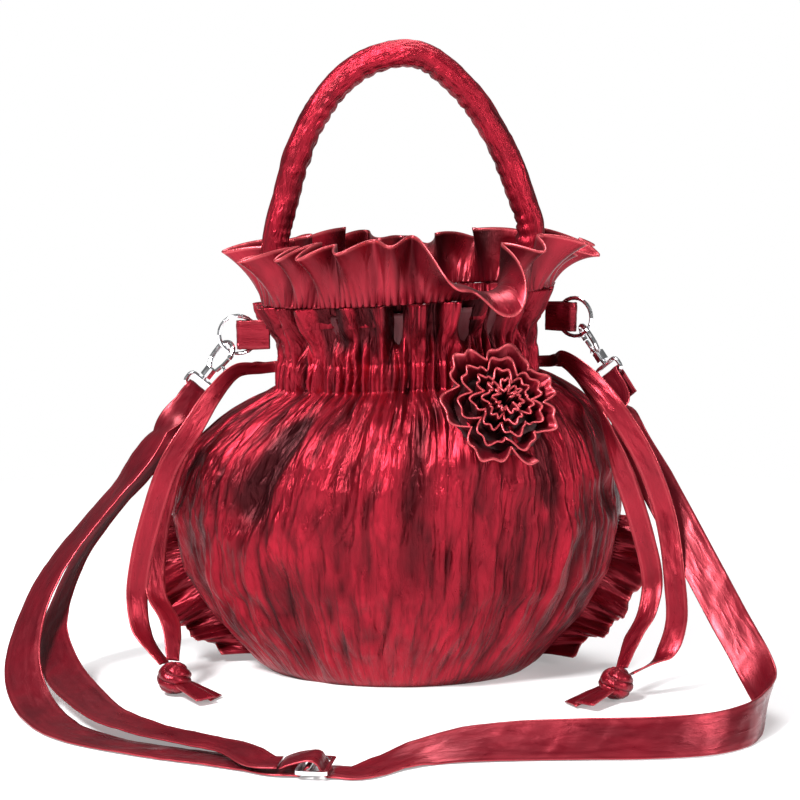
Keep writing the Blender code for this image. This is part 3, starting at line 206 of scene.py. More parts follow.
def sheetFrom(name, points, thickness, wrap, uv, material, edge=None, shade=None):
    # cloth with two faces, half its thickness to each side of a grid of points, joined round its borders
    normal = gridNormals(points, wrap)
    rows, columns = points.shape[:2]
    count = rows * columns
    over, under = points + normal * thickness / 2, points - normal * thickness / 2
    top = gridFaces(rows, columns, wrap)
    below = gridFaces(rows, columns, wrap, count)[:, ::-1]
    c = np.arange(columns if wrap else columns - 1)
    after = (c + 1) % columns
    low = np.column_stack([c + count, after + count, after, c])
    last = (rows - 1) * columns
    high = np.column_stack([last + c, last + after, last + after + count, last + c + count])
    parts = [top, below, low, high]
    if not wrap:
        r = np.arange(rows - 1) * columns
        for side, flip in ((0, False), (columns - 1, True)):
            a, b = r + side, r + side + columns
            strip = np.column_stack([a, b, b + count, a + count])
            parts.append(strip[:, ::-1] if flip else strip)
    flatUv = uv.reshape(-1, 2)
    double = [None if v is None else np.tile(np.asarray(v, float).ravel(), 2) for v in (edge, shade)]
    return meshFrom(
        name, np.concatenate([over.reshape(-1, 3), under.reshape(-1, 3)]), np.concatenate(parts),
        np.concatenate([flatUv, flatUv]), material, double[0], double[1],
    )


def gridLength(points):
    # the mean length of a sheet's rows, as the strip was cut before it was gathered
    return float(np.linalg.norm(np.diff(points, axis=1), axis=2).sum(axis=1).mean())


def toFive(value):
    # rounds to the nearest five millimetres, as cloth is cut
    return round(value * 200) / 200


# materials
def newMaterial(name):
    material = bpy.data.materials.new(name)
    material.use_nodes = True
    return material, material.node_tree.nodes, material.node_tree.links


def ranged(nodes, links, source, fromLow, fromHigh, toLow, toHigh):
    # spreads a value from one range onto another
    item = nodes.new("ShaderNodeMapRange")
    limits = {"From Min": fromLow, "From Max": fromHigh, "To Min": toLow, "To Max": toHigh}
    for label, value in limits.items():
        item.inputs[label].default_value = value
    links.new(source, item.inputs["Value"])
    return item.outputs["Result"]


def noiseFrom(nodes, links, place, scale, detail, distortion=0.0):
    item = nodes.new("ShaderNodeTexNoise")
    for label, value in (("Scale", scale), ("Detail", detail), ("Distortion", distortion)):
        item.inputs[label].default_value = value
    links.new(place, item.inputs["Vector"])
    return item.outputs["Fac"]


def stretched(nodes, links, place, across, along):
    item = nodes.new("ShaderNodeMapping")
    item.inputs["Scale"].default_value = (across, along, 1.0)
    links.new(place, item.inputs["Vector"])
    return item.outputs["Vector"]


def tinted(nodes, links, base, colour, share):
    # lays a colour over another one by a share
    item = nodes.new("ShaderNodeMix")
    item.data_type = "RGBA"
    item.inputs["B"].default_value = (*colour, 1)
    links.new(share, item.inputs["Factor"])
    links.new(base, item.inputs["A"])
    return item.outputs["Result"]


def threadGroup():
    # two crossing sets of threads, multiplied, with six hundredths of their size, on small creases of noise
    # drawn out upwards
    look = {"threads": 620.0, "wander": 0.6, "creaseAcross": 300.0, "creaseAlong": 70.0, "relief": 0.06}
    group = bpy.data.node_groups.new("threads", "ShaderNodeTree")
    group.interface.new_socket("Vector", in_out="INPUT", socket_type="NodeSocketVector")
    stretch = group.interface.new_socket("Crease", in_out="INPUT", socket_type="NodeSocketFloat")
    stretch.default_value = 1.0
    group.interface.new_socket("Height", in_out="OUTPUT", socket_type="NodeSocketFloat")
    group.interface.new_socket("Tone", in_out="OUTPUT", socket_type="NodeSocketFloat")
    nodes, links = group.nodes, group.links
    inlet, outlet = nodes.new("NodeGroupInput"), nodes.new("NodeGroupOutput")
    weave = nodes.new("ShaderNodeMath")
    weave.operation = "MULTIPLY"
    for k, direction in enumerate(("X", "Y")):
        wave = nodes.new("ShaderNodeTexWave")
        wave.bands_direction = direction
        wave.inputs["Scale"].default_value = look["threads"]
        wave.inputs["Distortion"].default_value = look["wander"]
        links.new(inlet.outputs["Vector"], wave.inputs["Vector"])
        links.new(wave.outputs["Fac"], weave.inputs[k])
    place = stretched(nodes, links, inlet.outputs["Vector"], look["creaseAcross"], look["creaseAlong"])
    tone = ranged(nodes, links, noiseFrom(nodes, links, place, 1.0, 5.0, 0.7), 0.32, 0.68, 0.0, 1.0)
    sized = nodes.new("ShaderNodeMath")
    sized.operation = "MULTIPLY"
    links.new(tone, sized.inputs[0])
    links.new(inlet.outputs["Crease"], sized.inputs[1])
    total = nodes.new("ShaderNodeMath")
    total.operation = "MULTIPLY_ADD"
    total.inputs[1].default_value = look["relief"]
    links.new(weave.outputs["Value"], total.inputs[0])
    links.new(sized.outputs["Value"], total.inputs[2])
    links.new(total.outputs["Value"], outlet.inputs["Height"])
    links.new(tone, outlet.inputs["Tone"])
    return group


threads = threadGroup()


def satin(name, settings):
    # shot cloth: a bright thread seen face on and a darker plum seen along the cloth, partly the other
    # thread's colour and partly painted sheen, with soft clouds of a lighter tone and random dark streaks of
    # painted shade drawn out upwards; painted shade darkens it in folds, and stitched borders lighten it
    look = {"facing": 0.42, "cloudSize": 52.0, "streakAcross": 150.0, "streakAlong": 26.0, "depth": 0.0009}
    material, nodes, links = newMaterial(name)
    shader = nodes["Principled BSDF"]
    place = nodes.new("ShaderNodeUVMap")
    place.uv_map = "cloth"
    cloth = place.outputs["UV"]
    thread = nodes.new("ShaderNodeGroup")
    thread.node_tree = threads
    thread.inputs["Crease"].default_value = settings["crease"]
    links.new(cloth, thread.inputs["Vector"])
    # partly the shot cloth's second thread and partly painted sheen: the base colour turns a darker plum at
    # grazing angles
    facing = nodes.new("ShaderNodeLayerWeight")
    facing.inputs["Blend"].default_value = look["facing"]
    shotAndSheen = nodes.new("ShaderNodeMix")
    shotAndSheen.data_type = "RGBA"
    shotAndSheen.inputs["A"].default_value = (*settings["face"], 1)
    shotAndSheen.inputs["B"].default_value = (*settings["graze"], 1)
    links.new(facing.outputs["Facing"], shotAndSheen.inputs["Factor"])
    cloud = noiseFrom(nodes, links, cloth, look["cloudSize"], 3.0)
    cloud = ranged(nodes, links, cloud, 0.35, 0.70, 0.0, settings["cloud"])
    # painted shade: random dark streaks drawn out upwards mix the colour towards the near-black shade colour
    drawn = stretched(nodes, links, cloth, look["streakAcross"], look["streakAlong"])
    paintedStreakShade = noiseFrom(nodes, links, drawn, 1.0, 4.0, 0.4)
    paintedStreakShade = ranged(nodes, links, paintedStreakShade, 0.50, 0.68, 0.0, settings["paintedStreakShade"])
    # painted shade: the fold attribute darkens the colour towards the shade colour
    marks = {}
    for label in ("fold", "edge"):
        mark = nodes.new("ShaderNodeAttribute")
        mark.attribute_name = label
        marks[label] = mark.outputs["Fac"]
    colour = shotAndSheen.outputs["Result"]
    layers = (("tone", cloud), ("shadeColour", paintedStreakShade), ("shadeColour", marks["fold"]), ("border", marks["edge"]))
    for key, share in layers:
        colour = tinted(nodes, links, colour, settings[key], share)
    links.new(colour, shader.inputs["Base Color"])
    smoothest, roughest = settings["rough"] - 0.07, settings["rough"] + 0.09
    rough = ranged(nodes, links, thread.outputs["Tone"], 0.0, 1.0, smoothest, roughest)
    links.new(rough, shader.inputs["Roughness"])
    bump = nodes.new("ShaderNodeBump")
    bump.inputs["Strength"].default_value = settings["bump"]
    bump.inputs["Distance"].default_value = look["depth"]
    links.new(thread.outputs["Height"], bump.inputs["Height"])
    links.new(bump.outputs["Normal"], shader.inputs["Normal"])
    shader.inputs["Metallic"].default_value = settings["metallic"]
    shader.inputs["Sheen Weight"].default_value = settings["sheen"]
    shader.inputs["Sheen Roughness"].default_value = 0.4
    shader.inputs["Sheen Tint"].default_value = (0.75, 0.42, 0.46, 1)
    return material


# the near-black colour in each cloth is the colour that painted shade in streaks and folds mixes towards
cloths = {
    "crinkled": {
        "face": (0.250, 0.0058, 0.0170), "graze": (0.100, 0.0028, 0.0085), "tone": (0.440, 0.0110, 0.0300),
        "shadeColour": (0.012, 0.000, 0.001), "border": (0.50, 0.05, 0.07), "cloud": 0.7, "paintedStreakShade": 0.62,
        "rough": 0.33, "crease": 1.0, "bump": 0.75, "metallic": 0.80, "sheen": 0.02,
    },
    "plain": {
        "face": (0.225, 0.0056, 0.0160), "graze": (0.095, 0.0028, 0.0085), "tone": (0.340, 0.0095, 0.0245),
        "shadeColour": (0.012, 0.000, 0.001), "border": (0.52, 0.070, 0.085), "cloud": 0.5, "paintedStreakShade": 0.30,
        "rough": 0.31, "crease": 0.45, "bump": 0.45, "metallic": 0.68, "sheen": 0.03,
    },
    "strap": {
        "face": (0.160, 0.0048, 0.0130), "graze": (0.070, 0.0022, 0.0065), "tone": (0.250, 0.0072, 0.0190),
        "shadeColour": (0.020, 0.000, 0.002), "border": (0.42, 0.035, 0.050), "cloud": 0.5, "paintedStreakShade": 0.20,
        "rough": 0.34, "crease": 0.45, "bump": 0.28, "metallic": 0.62, "sheen": 0.03,
    },
    "lining": {
        "face": (0.085, 0.003, 0.008), "graze": (0.05, 0.004, 0.008), "tone": (0.11, 0.004, 0.010),
        "shadeColour": (0.01, 0.000, 0.001), "border": (0.18, 0.02, 0.03), "cloud": 0.4, "paintedStreakShade": 0.20,
        "rough": 0.46, "crease": 0.5, "bump": 0.3, "metallic": 0.2, "sheen": 0.08,
    },
}
made = {key: satin(key + " satin", value) for key, value in cloths.items()}


def chromeMaterial():
    # polished metal with faint rubbed patches and hair scratches
    look = {"rubbed": 260.0, "scratch": 900.0, "smooth": 0.07, "worn": 0.26, "bump": 0.05, "depth": 0.0002}
    material, nodes, links = newMaterial("bright chrome")
    shader = nodes["Principled BSDF"]
    shader.inputs["Metallic"].default_value = 1.0
    shader.inputs["Base Color"].default_value = (0.80, 0.80, 0.82, 1)
    place = nodes.new("ShaderNodeTexCoord").outputs["Object"]
    rubbed = noiseFrom(nodes, links, place, look["rubbed"], 6.0)
    rough = ranged(nodes, links, rubbed, 0.30, 0.75, look["smooth"], look["worn"])
    links.new(rough, shader.inputs["Roughness"])
    bump = nodes.new("ShaderNodeBump")
    bump.inputs["Strength"].default_value = look["bump"]
    bump.inputs["Distance"].default_value = look["depth"]
    links.new(noiseFrom(nodes, links, place, look["scratch"], 2.0), bump.inputs["Height"])
    links.new(bump.outputs["Normal"], shader.inputs["Normal"])
    return material


made["chrome"] = chromeMaterial()
for node in ("left_ring", "right_ring", "left_clasp_hook", "right_clasp_hook", "left_clasp_trigger",
             "right_clasp_trigger", "left_clasp_eye", "right_clasp_eye", "strap_slider"):
    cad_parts[node].data.materials.clear()
    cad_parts[node].data.materials.append(made["chrome"])
print("materials made")


# camera at the photo's angle
def makeCamera():
    view = {"place": (0.0015, -1.1402, 0.2821), "tip": 82.5, "lens": 106.2}
    data = bpy.data.cameras.new("camera")
    data.lens, data.sensor_width, data.sensor_fit = view["lens"], 36.0, "HORIZONTAL"
    data.clip_start, data.clip_end = 0.05, 50.0
    item = bpy.data.objects.new("camera", data)
    item.location = view["place"]
    item.rotation_euler = (math.radians(view["tip"]), 0, 0)
    bpy.context.scene.collection.objects.link(item)
    bpy.context.scene.camera = item


makeCamera()


# flat bands: the drawcords and the strap
def densePath(points):
    # a centripetal spline through the given points, with 16 steps between two of them
    given = np.asarray(points, float)
    ends = np.vstack([2 * given[0] - given[1], given, 2 * given[-1] - given[-2]])
    dense = []
    for i in range(1, len(ends) - 2):
        p0, p1, p2, p3 = ends[i - 1 : i + 3]
        t1 = math.sqrt(np.linalg.norm(p1 - p0))
        t2 = t1 + math.sqrt(np.linalg.norm(p2 - p1))
        t3 = t2 + math.sqrt(np.linalg.norm(p3 - p2))
        t = np.linspace(t1, t2, 16, endpoint=False)[:, None]
        a1 = (t1 - t) / t1 * p0 + t / t1 * p1
        a2 = (t2 - t) / (t2 - t1) * p1 + (t - t1) / (t2 - t1) * p2
        a3 = (t3 - t) / (t3 - t2) * p2 + (t - t2) / (t3 - t2) * p3
        b1 = (t2 - t) / t2 * a1 + t / t2 * a2
        b2 = (t3 - t) / (t3 - t1) * a2 + (t - t1) / (t3 - t1) * a3
        dense.append((t2 - t) / (t2 - t1) * b1 + (t - t1) / (t2 - t1) * b2)
    return np.vstack(dense + [given[-1:]])


def evenPath(points, step):
    dense = densePath(points)
    reach = np.concatenate([[0.0], np.cumsum(np.linalg.norm(np.diff(dense, axis=0), axis=1))])
    wanted = np.linspace(0.0, reach[-1], max(6, int(reach[-1] / step)))
    return np.column_stack([np.interp(wanted, reach, dense[:, k]) for k in range(3)])


def bandMesh(name, rows, material, look):
    # a flat tube along a route: its half thickness falls by a seventh power towards the rounded edges, less a
    # Gaussian groove at each seam line, and noise of two sizes ripples it
    places, broad, widths = zip(*rows)
    path = evenPath(places, look["step"])
    reach = np.concatenate([[0], np.cumsum(np.linalg.norm(np.diff(path, axis=0), axis=1))])
    marks = np.array([reach[np.argmin(np.linalg.norm(path - p, axis=1))] for p in np.asarray(places, float)])
    marks = np.maximum.accumulate(marks + np.arange(len(marks)) * 1e-9)
    broad = np.asarray(broad, float)
    wide = np.column_stack([np.interp(reach, marks, broad[:, k]) for k in range(3)])
    size = np.interp(reach, marks, widths)
    along = np.gradient(path, axis=0)
    along /= np.linalg.norm(along, axis=1, keepdims=True)
    wide -= along * np.sum(wide * along, axis=1, keepdims=True)
    wide /= np.linalg.norm(wide, axis=1, keepdims=True)
    thin = np.cross(along, wide)
    lowest = path[:, 2] - np.abs(wide[:, 2]) * size / 2 - np.abs(thin[:, 2]) * look["thick"] / 2
    path = path + np.array([0, 0, 1]) * np.maximum(0.0, bag["gap"] - lowest)[:, None]
    across = np.linspace(-1, 1, look["across"])
    half = look["thick"] / 2 * (1 - 0.55 * np.abs(across) ** 7)
    half = half - look["groove"] * np.exp(-(((np.abs(across) - look["seam"]) / 0.045) ** 2))
    side = np.concatenate([across, across[::-1]])
    height = np.concatenate([half, -half[::-1]])
    fine = gradientNoise(reach[:, None] / 0.004 + side * 1.5, side * 1.8 + 7, look["seed"]) - 0.5
    slow = gradientNoise(reach[:, None] / 0.013 + side * 0.8, side * 0.9 + 3, look["seed"] + 1) - 0.5
    ripple = look["ripple"] * (0.55 * fine + 1.0 * slow)
    shaped = path[:, None] + wide[:, None] * side[None, :, None] * (size / 2)[:, None, None]
    shaped = shaped + thin[:, None] * (height[None, :] + ripple)[..., None]
    rings, count = shaped.shape[:2]
    shaped[..., 2] = np.maximum(shaped[..., 2], 0.0002)
    faces = gridFaces(rings, count, True)
    k = np.arange(look["across"] - 1)
    for base, flip in ((0, False), ((rings - 1) * count, True)):
        cap = np.column_stack([base + k, base + count - 1 - k, base + count - 2 - k, base + k + 1])
        faces = np.concatenate([faces, cap[:, ::-1] if flip else cap])
    sideMetres = side[None, :] * (size / 2)[:, None]
    uv = np.stack([sideMetres, np.broadcast_to(reach[:, None], sideMetres.shape)], axis=-1).reshape(-1, 2)
    stitch = np.exp(-(((np.abs(side) - look["seam"]) / 0.05) ** 2)) * 0.6
    stitch = np.maximum(stitch, np.clip((np.abs(side) - 0.93) / 0.07, 0, 1)) * look["edge"]
    stitch = np.broadcast_to(stitch[None, :], sideMetres.shape)
    item = meshFrom(name, shaped.reshape(-1, 3), faces, uv, material, stitch)
    return item, path, float(reach[-1])


class SideFrame:
    # directions and places shared by one side's tab, ring and clasp
    def __init__(self, side, turn):
        size = {"ring": 0.0093, "wire": 0.0010, "height": 0.168, "neck": 0.005, "tabHalf": 0.0070,
                "cloth": 0.0011, "ringGap": 0.0006, "out": 0.62, "reach": 0.0016, "eyeFar": 0.0235,
                "rise": 0.0277}
        angle = math.radians(turn)
        coarse = np.interp(
            np.linspace(size["height"], size["height"] + size["tabHalf"], 5),
            [bag["channelHigh"] + 0.42 * size["rise"], bag["channelHigh"] + 0.74 * size["rise"]],
            [bag["neckWidth"], bag["collarWidth"] - 0.0035],
        )
        root = 0.75 * (size["wire"] + size["ringGap"] + size["cloth"])
        reach = float(coarse.max()) + 2 * bag["gap"] + root * abs(math.sin(angle))
        self.anchor = lean(np.array([side * reach, bag["seamY"], size["height"]]))
        self.out = np.array([math.cos(angle), math.sin(angle), 0.0])
        self.normal = np.cross([0, 0, 1], self.out)
        self.hang = self.out * size["out"] - np.array([0, 0, math.sqrt(1 - size["out"] ** 2)])
        self.across = np.cross(self.normal, self.hang)
        self.ringCentre = self.anchor + self.out * (size["neck"] + size["ring"])
        self.eyeBar = self.ringCentre + self.hang * (size["ring"] + size["reach"] + size["eyeFar"])
        self.size = size


sides = {"left": SideFrame(-1, 180.0), "right": SideFrame(1, -35.0)}
strapSize = {"width": 0.018, "eyeWidth": 0.0105, "nearEye": 0.0150, "thick": 0.0012, "eyeWire": 0.0011,
             "centre": (-0.0335, -0.187), "turn": -8.0}


def sliderPoint(along, across, height):
    turn = math.radians(strapSize["turn"])
    x = strapSize["centre"][0] + along * math.cos(turn) - across * math.sin(turn)
    y = strapSize["centre"][1] + along * math.sin(turn) + across * math.cos(turn)
    return (x, y, height)


def eyeWrap(side, start, end, steps=7):
    radius = strapSize["eyeWire"] + bag["gap"] + strapSize["thick"] / 2 + 0.0002
    turns = np.radians(np.linspace(start, end, steps))
    return [side.eyeBar - side.hang * radius * math.cos(a) + side.normal * radius * math.sin(a)
            for a in turns]


def strapRoutes():
    left, right = sides["left"], sides["right"]
    full, narrow, near = strapSize["width"], strapSize["eyeWidth"], strapSize["nearEye"]
    turn = math.radians(strapSize["turn"])
    flat = (-math.sin(turn), math.cos(turn), 0.0)
    low = strapSize["thick"] / 2 + bag["gap"]
    sign = 1 if right.normal[1] > 0 else -1
    back = right.normal * sign
    wrap = eyeWrap(right, 90 * sign, -90 * sign)
    tail = [wrap[0] + right.hang * 0.013 + back * 0.0002, wrap[0] + right.hang * 0.006]
    run = [(p, right.across, narrow) for p in tail + wrap]
    run += [
        (wrap[-1] + right.hang * 0.008 - back * 0.0008, right.across, narrow),
        ((0.1108, -0.0200, 0.1211), (0.86, 0.05, 0.45), near),
        ((0.1232, -0.0280, 0.0972), (0.88, 0.05, 0.42), full),
        ((0.1345, -0.0400, 0.0762), (0.86, 0.10, 0.45), full),
        ((0.1446, -0.0560, 0.0568), (0.80, 0.15, 0.50), full),
        ((0.1542, -0.0700, 0.0385), (0.72, 0.25, 0.60), full),
        ((0.1627, -0.0840, 0.0230), (0.60, 0.30, 0.70), full),
        ((0.1665, -0.1020, 0.0122), (0.40, 0.20, 0.90), full),
        ((0.1625, -0.1240, 0.0096), (0.10, 0.25, 0.95), full),
        ((0.1520, -0.1450, 0.0092), (0.00, 0.35, 0.93), full),
        ((0.1360, -0.1580, 0.0090), (0.00, 0.40, 0.90), full),
        ((0.1118, -0.1640, 0.0088), (0.00, 0.42, 0.90), full),
        ((0.0822, -0.1650, 0.0084), (0.00, 0.45, 0.88), full),
        ((0.0525, -0.1650, 0.0076), (0.00, 0.60, 0.80), full),
        ((0.0300, -0.1660, 0.0062), (-0.10, 0.75, 0.62), full),
        ((0.0120, -0.1690, 0.0040), (-0.25, 0.88, 0.35), full),
        ((-0.0020, -0.1770, 0.0020), (-0.3, 0.93, 0.1), full),
    ]
    overBars = [(0.0180, low), (0.0110, low), (0.0062, low + 0.0001), (0.0034, 0.0034), (0.0014, 0.0068),
                (-0.0010, 0.0076), (-0.0050, 0.0070), (-0.0100, 0.0056), (-0.0140, 0.0040)]
    run += [(sliderPoint(along, 0.0, height), flat, full) for along, height in overBars]
    sign = 1 if left.normal[1] > 0 else -1
    back = left.normal * sign
    over = eyeWrap(left, -90 * sign, 20 * sign, 6)
    beyond = eyeWrap(left, 45 * sign, 90 * sign, 3)
    underBars = [(-0.0012, 0.0053), (-0.0022, 0.0050), (-0.0036, 0.0030), (-0.0054, low), (-0.0100, low),
                 (-0.0160, low)]
    outer = [(sliderPoint(along, 0.0, height), flat, full) for along, height in underBars]
    outer += [
        ((-0.0600, -0.1780, low), (0.40, 0.90, 0.0), full),
        ((-0.0746, -0.1707, low), (0.40, 0.90, 0.0), full),
        ((-0.1012, -0.1585, low), (0.40, 0.90, 0.0), full),
        ((-0.1232, -0.1463, low), (0.50, 0.85, 0.0), full),
        ((-0.1440, -0.1300, low + 0.0006), (0.70, 0.70, 0.08), full),
        ((-0.1650, -0.0940, 0.0050), (0.94, 0.20, 0.20), full),
        ((-0.1745, -0.0660, 0.0165), (0.92, -0.30, 0.20), full),
        ((-0.1736, -0.0460, 0.0330), (0.78, -0.62, 0.10), full),
        ((-0.1648, -0.0320, 0.0533), (0.70, -0.66, 0.20), full),
        ((-0.1496, -0.0220, 0.0733), (0.70, -0.50, 0.40), full),
        ((-0.1326, -0.0160, 0.0932), (0.70, -0.25, 0.60), full),
        ((-0.1146, -0.0080, 0.1177), (0.72, 0.0, 0.65), near),
        (over[0] + left.hang * 0.008 - back * 0.001, left.across, narrow),
    ]
    outer += [(p, left.across, narrow) for p in over]
    backRun = [(p, left.across, narrow) for p in beyond]
    backRun += [
        (beyond[-1] + left.hang * 0.008 + back * 0.001, left.across, narrow),
        ((-0.1100, 0.0080, 0.1120), (0.75, 0.0, 0.65), near),
        ((-0.1257, 0.0040, 0.0925), (0.72, -0.30, 0.60), full),
        ((-0.1409, -0.0020, 0.0747), (0.62, -0.55, 0.45), full),
        ((-0.1541, -0.0090, 0.0561), (0.55, -0.75, 0.30), full),
        ((-0.1620, -0.0200, 0.0385), (0.55, -0.80, 0.10), full),
        ((-0.1640, -0.0400, 0.0240), (0.75, -0.55, 0.30), full),
        ((-0.1560, -0.0680, 0.0150), (0.92, 0.0, 0.35), full),
        ((-0.1430, -0.0970, 0.0108), (0.85, 0.40, 0.20), full),
        ((-0.1270, -0.1230, 0.0075), (0.65, 0.75, 0.08), full),
        ((-0.1060, -0.1400, 0.0054), (0.42, 0.90, 0.02), full),
        ((-0.0850, -0.1520, 0.0044), (0.45, 0.89, 0.0), full),
        ((-0.0680, -0.1640, 0.0040), (0.50, 0.86, 0.0), full),
        (sliderPoint(-0.0225, 0.0005, 0.0038), flat, full), (sliderPoint(-0.0180, 0.0, 0.0039), flat, full),
        (sliderPoint(-0.0151, 0.0, 0.0040), flat, full),
    ]
    return run, outer, backRun


def makeStraps():
    look = {"step": 0.0016, "thick": 0.0012, "across": 25, "groove": 0.00022, "seam": 0.80, "seed": 21,
            "ripple": 0.0005, "edge": 0.55}
    for (name, rows), blend in zip(
        zip(("strapRightRun", "strapLeftOuter", "strapLeftReturn"), strapRoutes()),
        (((0.030, -0.165, 0), (-0.012, -0.187, 0)), ((-0.085, -0.164, 0), (-0.050, -0.183, 0)),
         ((-0.085, -0.152, 0), (-0.052, -0.180, 0))),
    ):
        item, path, length = bandMesh(name, rows, made["strap"], look)
        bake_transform(item)
        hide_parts({"strapRightRun": "strap_right_run", "strapLeftOuter": "strap_left_outer",
                           "strapLeftReturn": "strap_left_return"}[name])
        print(name, round(length, 4))


# places of the two cord knots, and where their tails end
knotCentres = {"left": (-0.1045, -0.0590, 0.0082), "right": (0.1020, -0.0690, 0.0082)}
tailEnds = {
    "left": ((-0.0840, -0.0690), (-0.0880, -0.0790)), "right": ((0.0800, -0.0800), (0.0860, -0.0880)),
}


def drawcordRows(side):
    cord = {"width": 0.0105, "lane": 0.0050, "offset": 0.0031, "depth": 0.0031, "knotEnd": 0.0065}
    knot = {"radius": 0.0082, "dent": 0.04}
    lane = cord["offset"] if side < 0 else -cord["offset"]
    height = (bag["channelLow"] + bag["channelHigh"]) / 2 + lane
    neck, seam = float(halfWidth(height)), bag["seamY"]
    if side < 0:
        outer = [(-0.1205, -0.0460, 0.0270), (-0.1235, -0.0400, 0.0420), (-0.1215, -0.0400, 0.0600),
                 (-0.1165, -0.0400, 0.0800), (-0.1075, -0.0390, 0.1060), (-0.0965, -0.0330, 0.1235),
                 (-0.0875, -0.0230, 0.1375), (-0.0770, -0.0090, 0.1475)]
        inner = [(-0.0740, 0.0000, 0.1470), (-0.0840, -0.0080, 0.1390), (-0.0930, -0.0140, 0.1260),
                 (-0.1050, -0.0220, 0.1080), (-0.1130, -0.0270, 0.0800), (-0.1155, -0.0310, 0.0600),
                 (-0.1145, -0.0370, 0.0430), (-0.1075, -0.0430, 0.0310)]
    else:
        outer = [(0.1250, -0.0590, 0.0190), (0.1310, -0.0560, 0.0330), (0.1305, -0.0530, 0.0530),
                 (0.1265, -0.0440, 0.0830), (0.1160, -0.0430, 0.1110), (0.1010, -0.0370, 0.1350),
                 (0.0890, -0.0250, 0.1480), (0.0790, -0.0100, 0.1540)]
        inner = [(0.0790, 0.0010, 0.1510), (0.0880, -0.0120, 0.1440), (0.0970, -0.0310, 0.1290),
                 (0.1080, -0.0360, 0.1000), (0.1170, -0.0370, 0.0720), (0.1215, -0.0380, 0.0500),
                 (0.1185, -0.0440, 0.0360), (0.1115, -0.0510, 0.0255)]
    centre = np.array(knotCentres["left" if side < 0 else "right"])

    def seat(towards):
        way = np.array(towards) - centre
        return centre + way / np.linalg.norm(way) * (knot["radius"] * (1 + knot["dent"]) + bag["gap"])

    outer, inner = [seat(outer[0])] + outer, inner + [seat(inner[-1])]
    frontExit = [(neck + 0.0065, seam - 0.0050), (neck + 0.0010, seam - 0.0026),
                 (neck - 0.0042, seam - 0.0044)]
    backExit = [(neck - 0.0042, seam + 0.0044), (neck + 0.0010, seam + 0.0026),
                (neck + 0.0060, seam + 0.0010)]
    turns = np.radians(np.linspace(14, 346, 34)) + (math.pi if side < 0 else 0.0)
    turns = (turns + math.pi) % (2 * math.pi) - math.pi
    around = ringPoint(turns, np.full_like(turns, height), cord["depth"])
    around = around if side < 0 else around[::-1]
    points = np.vstack([
        outer, lean([(side * x, y, height) for x, y in frontExit]), lean(around),
        lean([(side * x, y, height) for x, y in backExit]), inner,
    ])
    rows = []
    for i, point in enumerate(points):
        steps = min(i, len(points) - 1 - i)
        if i > len(points) / 2 and steps in (6, 7, 8):
            rows.append((point, (0.25 * side, -0.85, 0.25), 0.0075))
        elif steps < 7:
            rows.append((point, (0.80 * side, -0.25, 0.45), cord["width"] if steps else cord["knotEnd"]))
        elif steps == 7:
            rows.append((point, (0.55 * side, -0.2, 0.80), 0.0090))
        elif steps == 8:
            rows.append((point, (0.2 * side, 0.0, 1.0), 0.0070))
        else:
            rows.append((point, (0.0, 0.0, 1.0), cord["lane"]))
    return rows


def makeKnot(name, centre, ends):
    # a ball wound by three turns of flat cord: its radius rises by the 0.45 power of a slanting sine's size
    look = {"radius": 0.0082, "turns": 3, "wind": 2.4, "band": 0.13, "rows": 90, "columns": 140,
            "crease": 0.05}
    polar = np.linspace(0.0, math.pi, look["rows"])[:, None]
    turn = np.linspace(0, 2 * math.pi, look["columns"], endpoint=False)[None, :]
    winding = look["turns"] * (turn + look["wind"] * np.cos(polar))
    bulge = np.abs(np.sin(winding / 2 + 0.9 * np.sin(2 * polar))) ** 0.45
    crease = look["crease"] * (gradientNoise(turn * 6 / (2 * math.pi) * 4, polar * 5, 51) - 0.5)
    radius = look["radius"] * (0.88 + look["band"] * bulge + crease)
    x = radius * np.sin(polar) * np.cos(turn)
    y = radius * np.sin(polar) * np.sin(turn)
    z = radius * np.cos(polar) * 0.92
    points = np.stack([x, y, z], axis=-1) + np.array(centre)
    uv = np.stack(np.broadcast_arrays(turn * 0.0082, polar * 0.0082), axis=-1).reshape(-1, 2)
    # painted shade: darker in the grooves between the turns of cord, where the bulge is small
    shade = np.clip(0.9 - 1.4 * bulge, 0, 1)
    ball = meshFrom(name, points.reshape(-1, 3), gridFaces(look["rows"], look["columns"], True)[:, ::-1], uv,
                    made["plain"], None, np.broadcast_to(shade, radius.shape))
    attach(ball, "root")
    tails = []
    for k, (x, y) in enumerate(ends):
        low = 0.0012 + 0.0022 * k
        points = np.array([centre, ((2 * centre[0] + x) / 3, (2 * centre[1] + y) / 3, 0.0062), (x, y, low)])
        way = points[-1] - points[0]
        wide = (-way[1], way[0], 0.0)
        rows = [(p, wide, w) for p, w in zip(points, (0.006, 0.0085, 0.0105))]
        tailLook = {"step": 0.0008, "thick": 0.0011, "across": 17, "groove": 0.00012, "seam": 0.78,
                    "seed": 61 + k, "ripple": 0.0006, "edge": 0.6}
        item, _, _ = bandMesh(name + "Tail" + str(k), rows, made["plain"], tailLook)
        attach(item, "root")
        tails.append(item)
    return ball, tails


def makeDrawcords():
    look = {"step": 0.0014, "thick": 0.0010, "across": 17, "groove": 0.00014, "seam": 0.78, "seed": 31,
            "ripple": 0.00055, "edge": 0.75}
    for word, side in (("left", -1), ("right", 1)):
        knot, tails = makeKnot(word + "Knot", knotCentres[word], tailEnds[word])
        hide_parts(word + "_knot")
        item, path, length = bandMesh(word + "Drawcord", drawcordRows(side), made["plain"], look)
        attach(item, "root")
        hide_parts(word + "_drawcord")
        print(word + " drawcord", round(length, 4))


makeDrawcords()
makeStraps()
print("cords made")


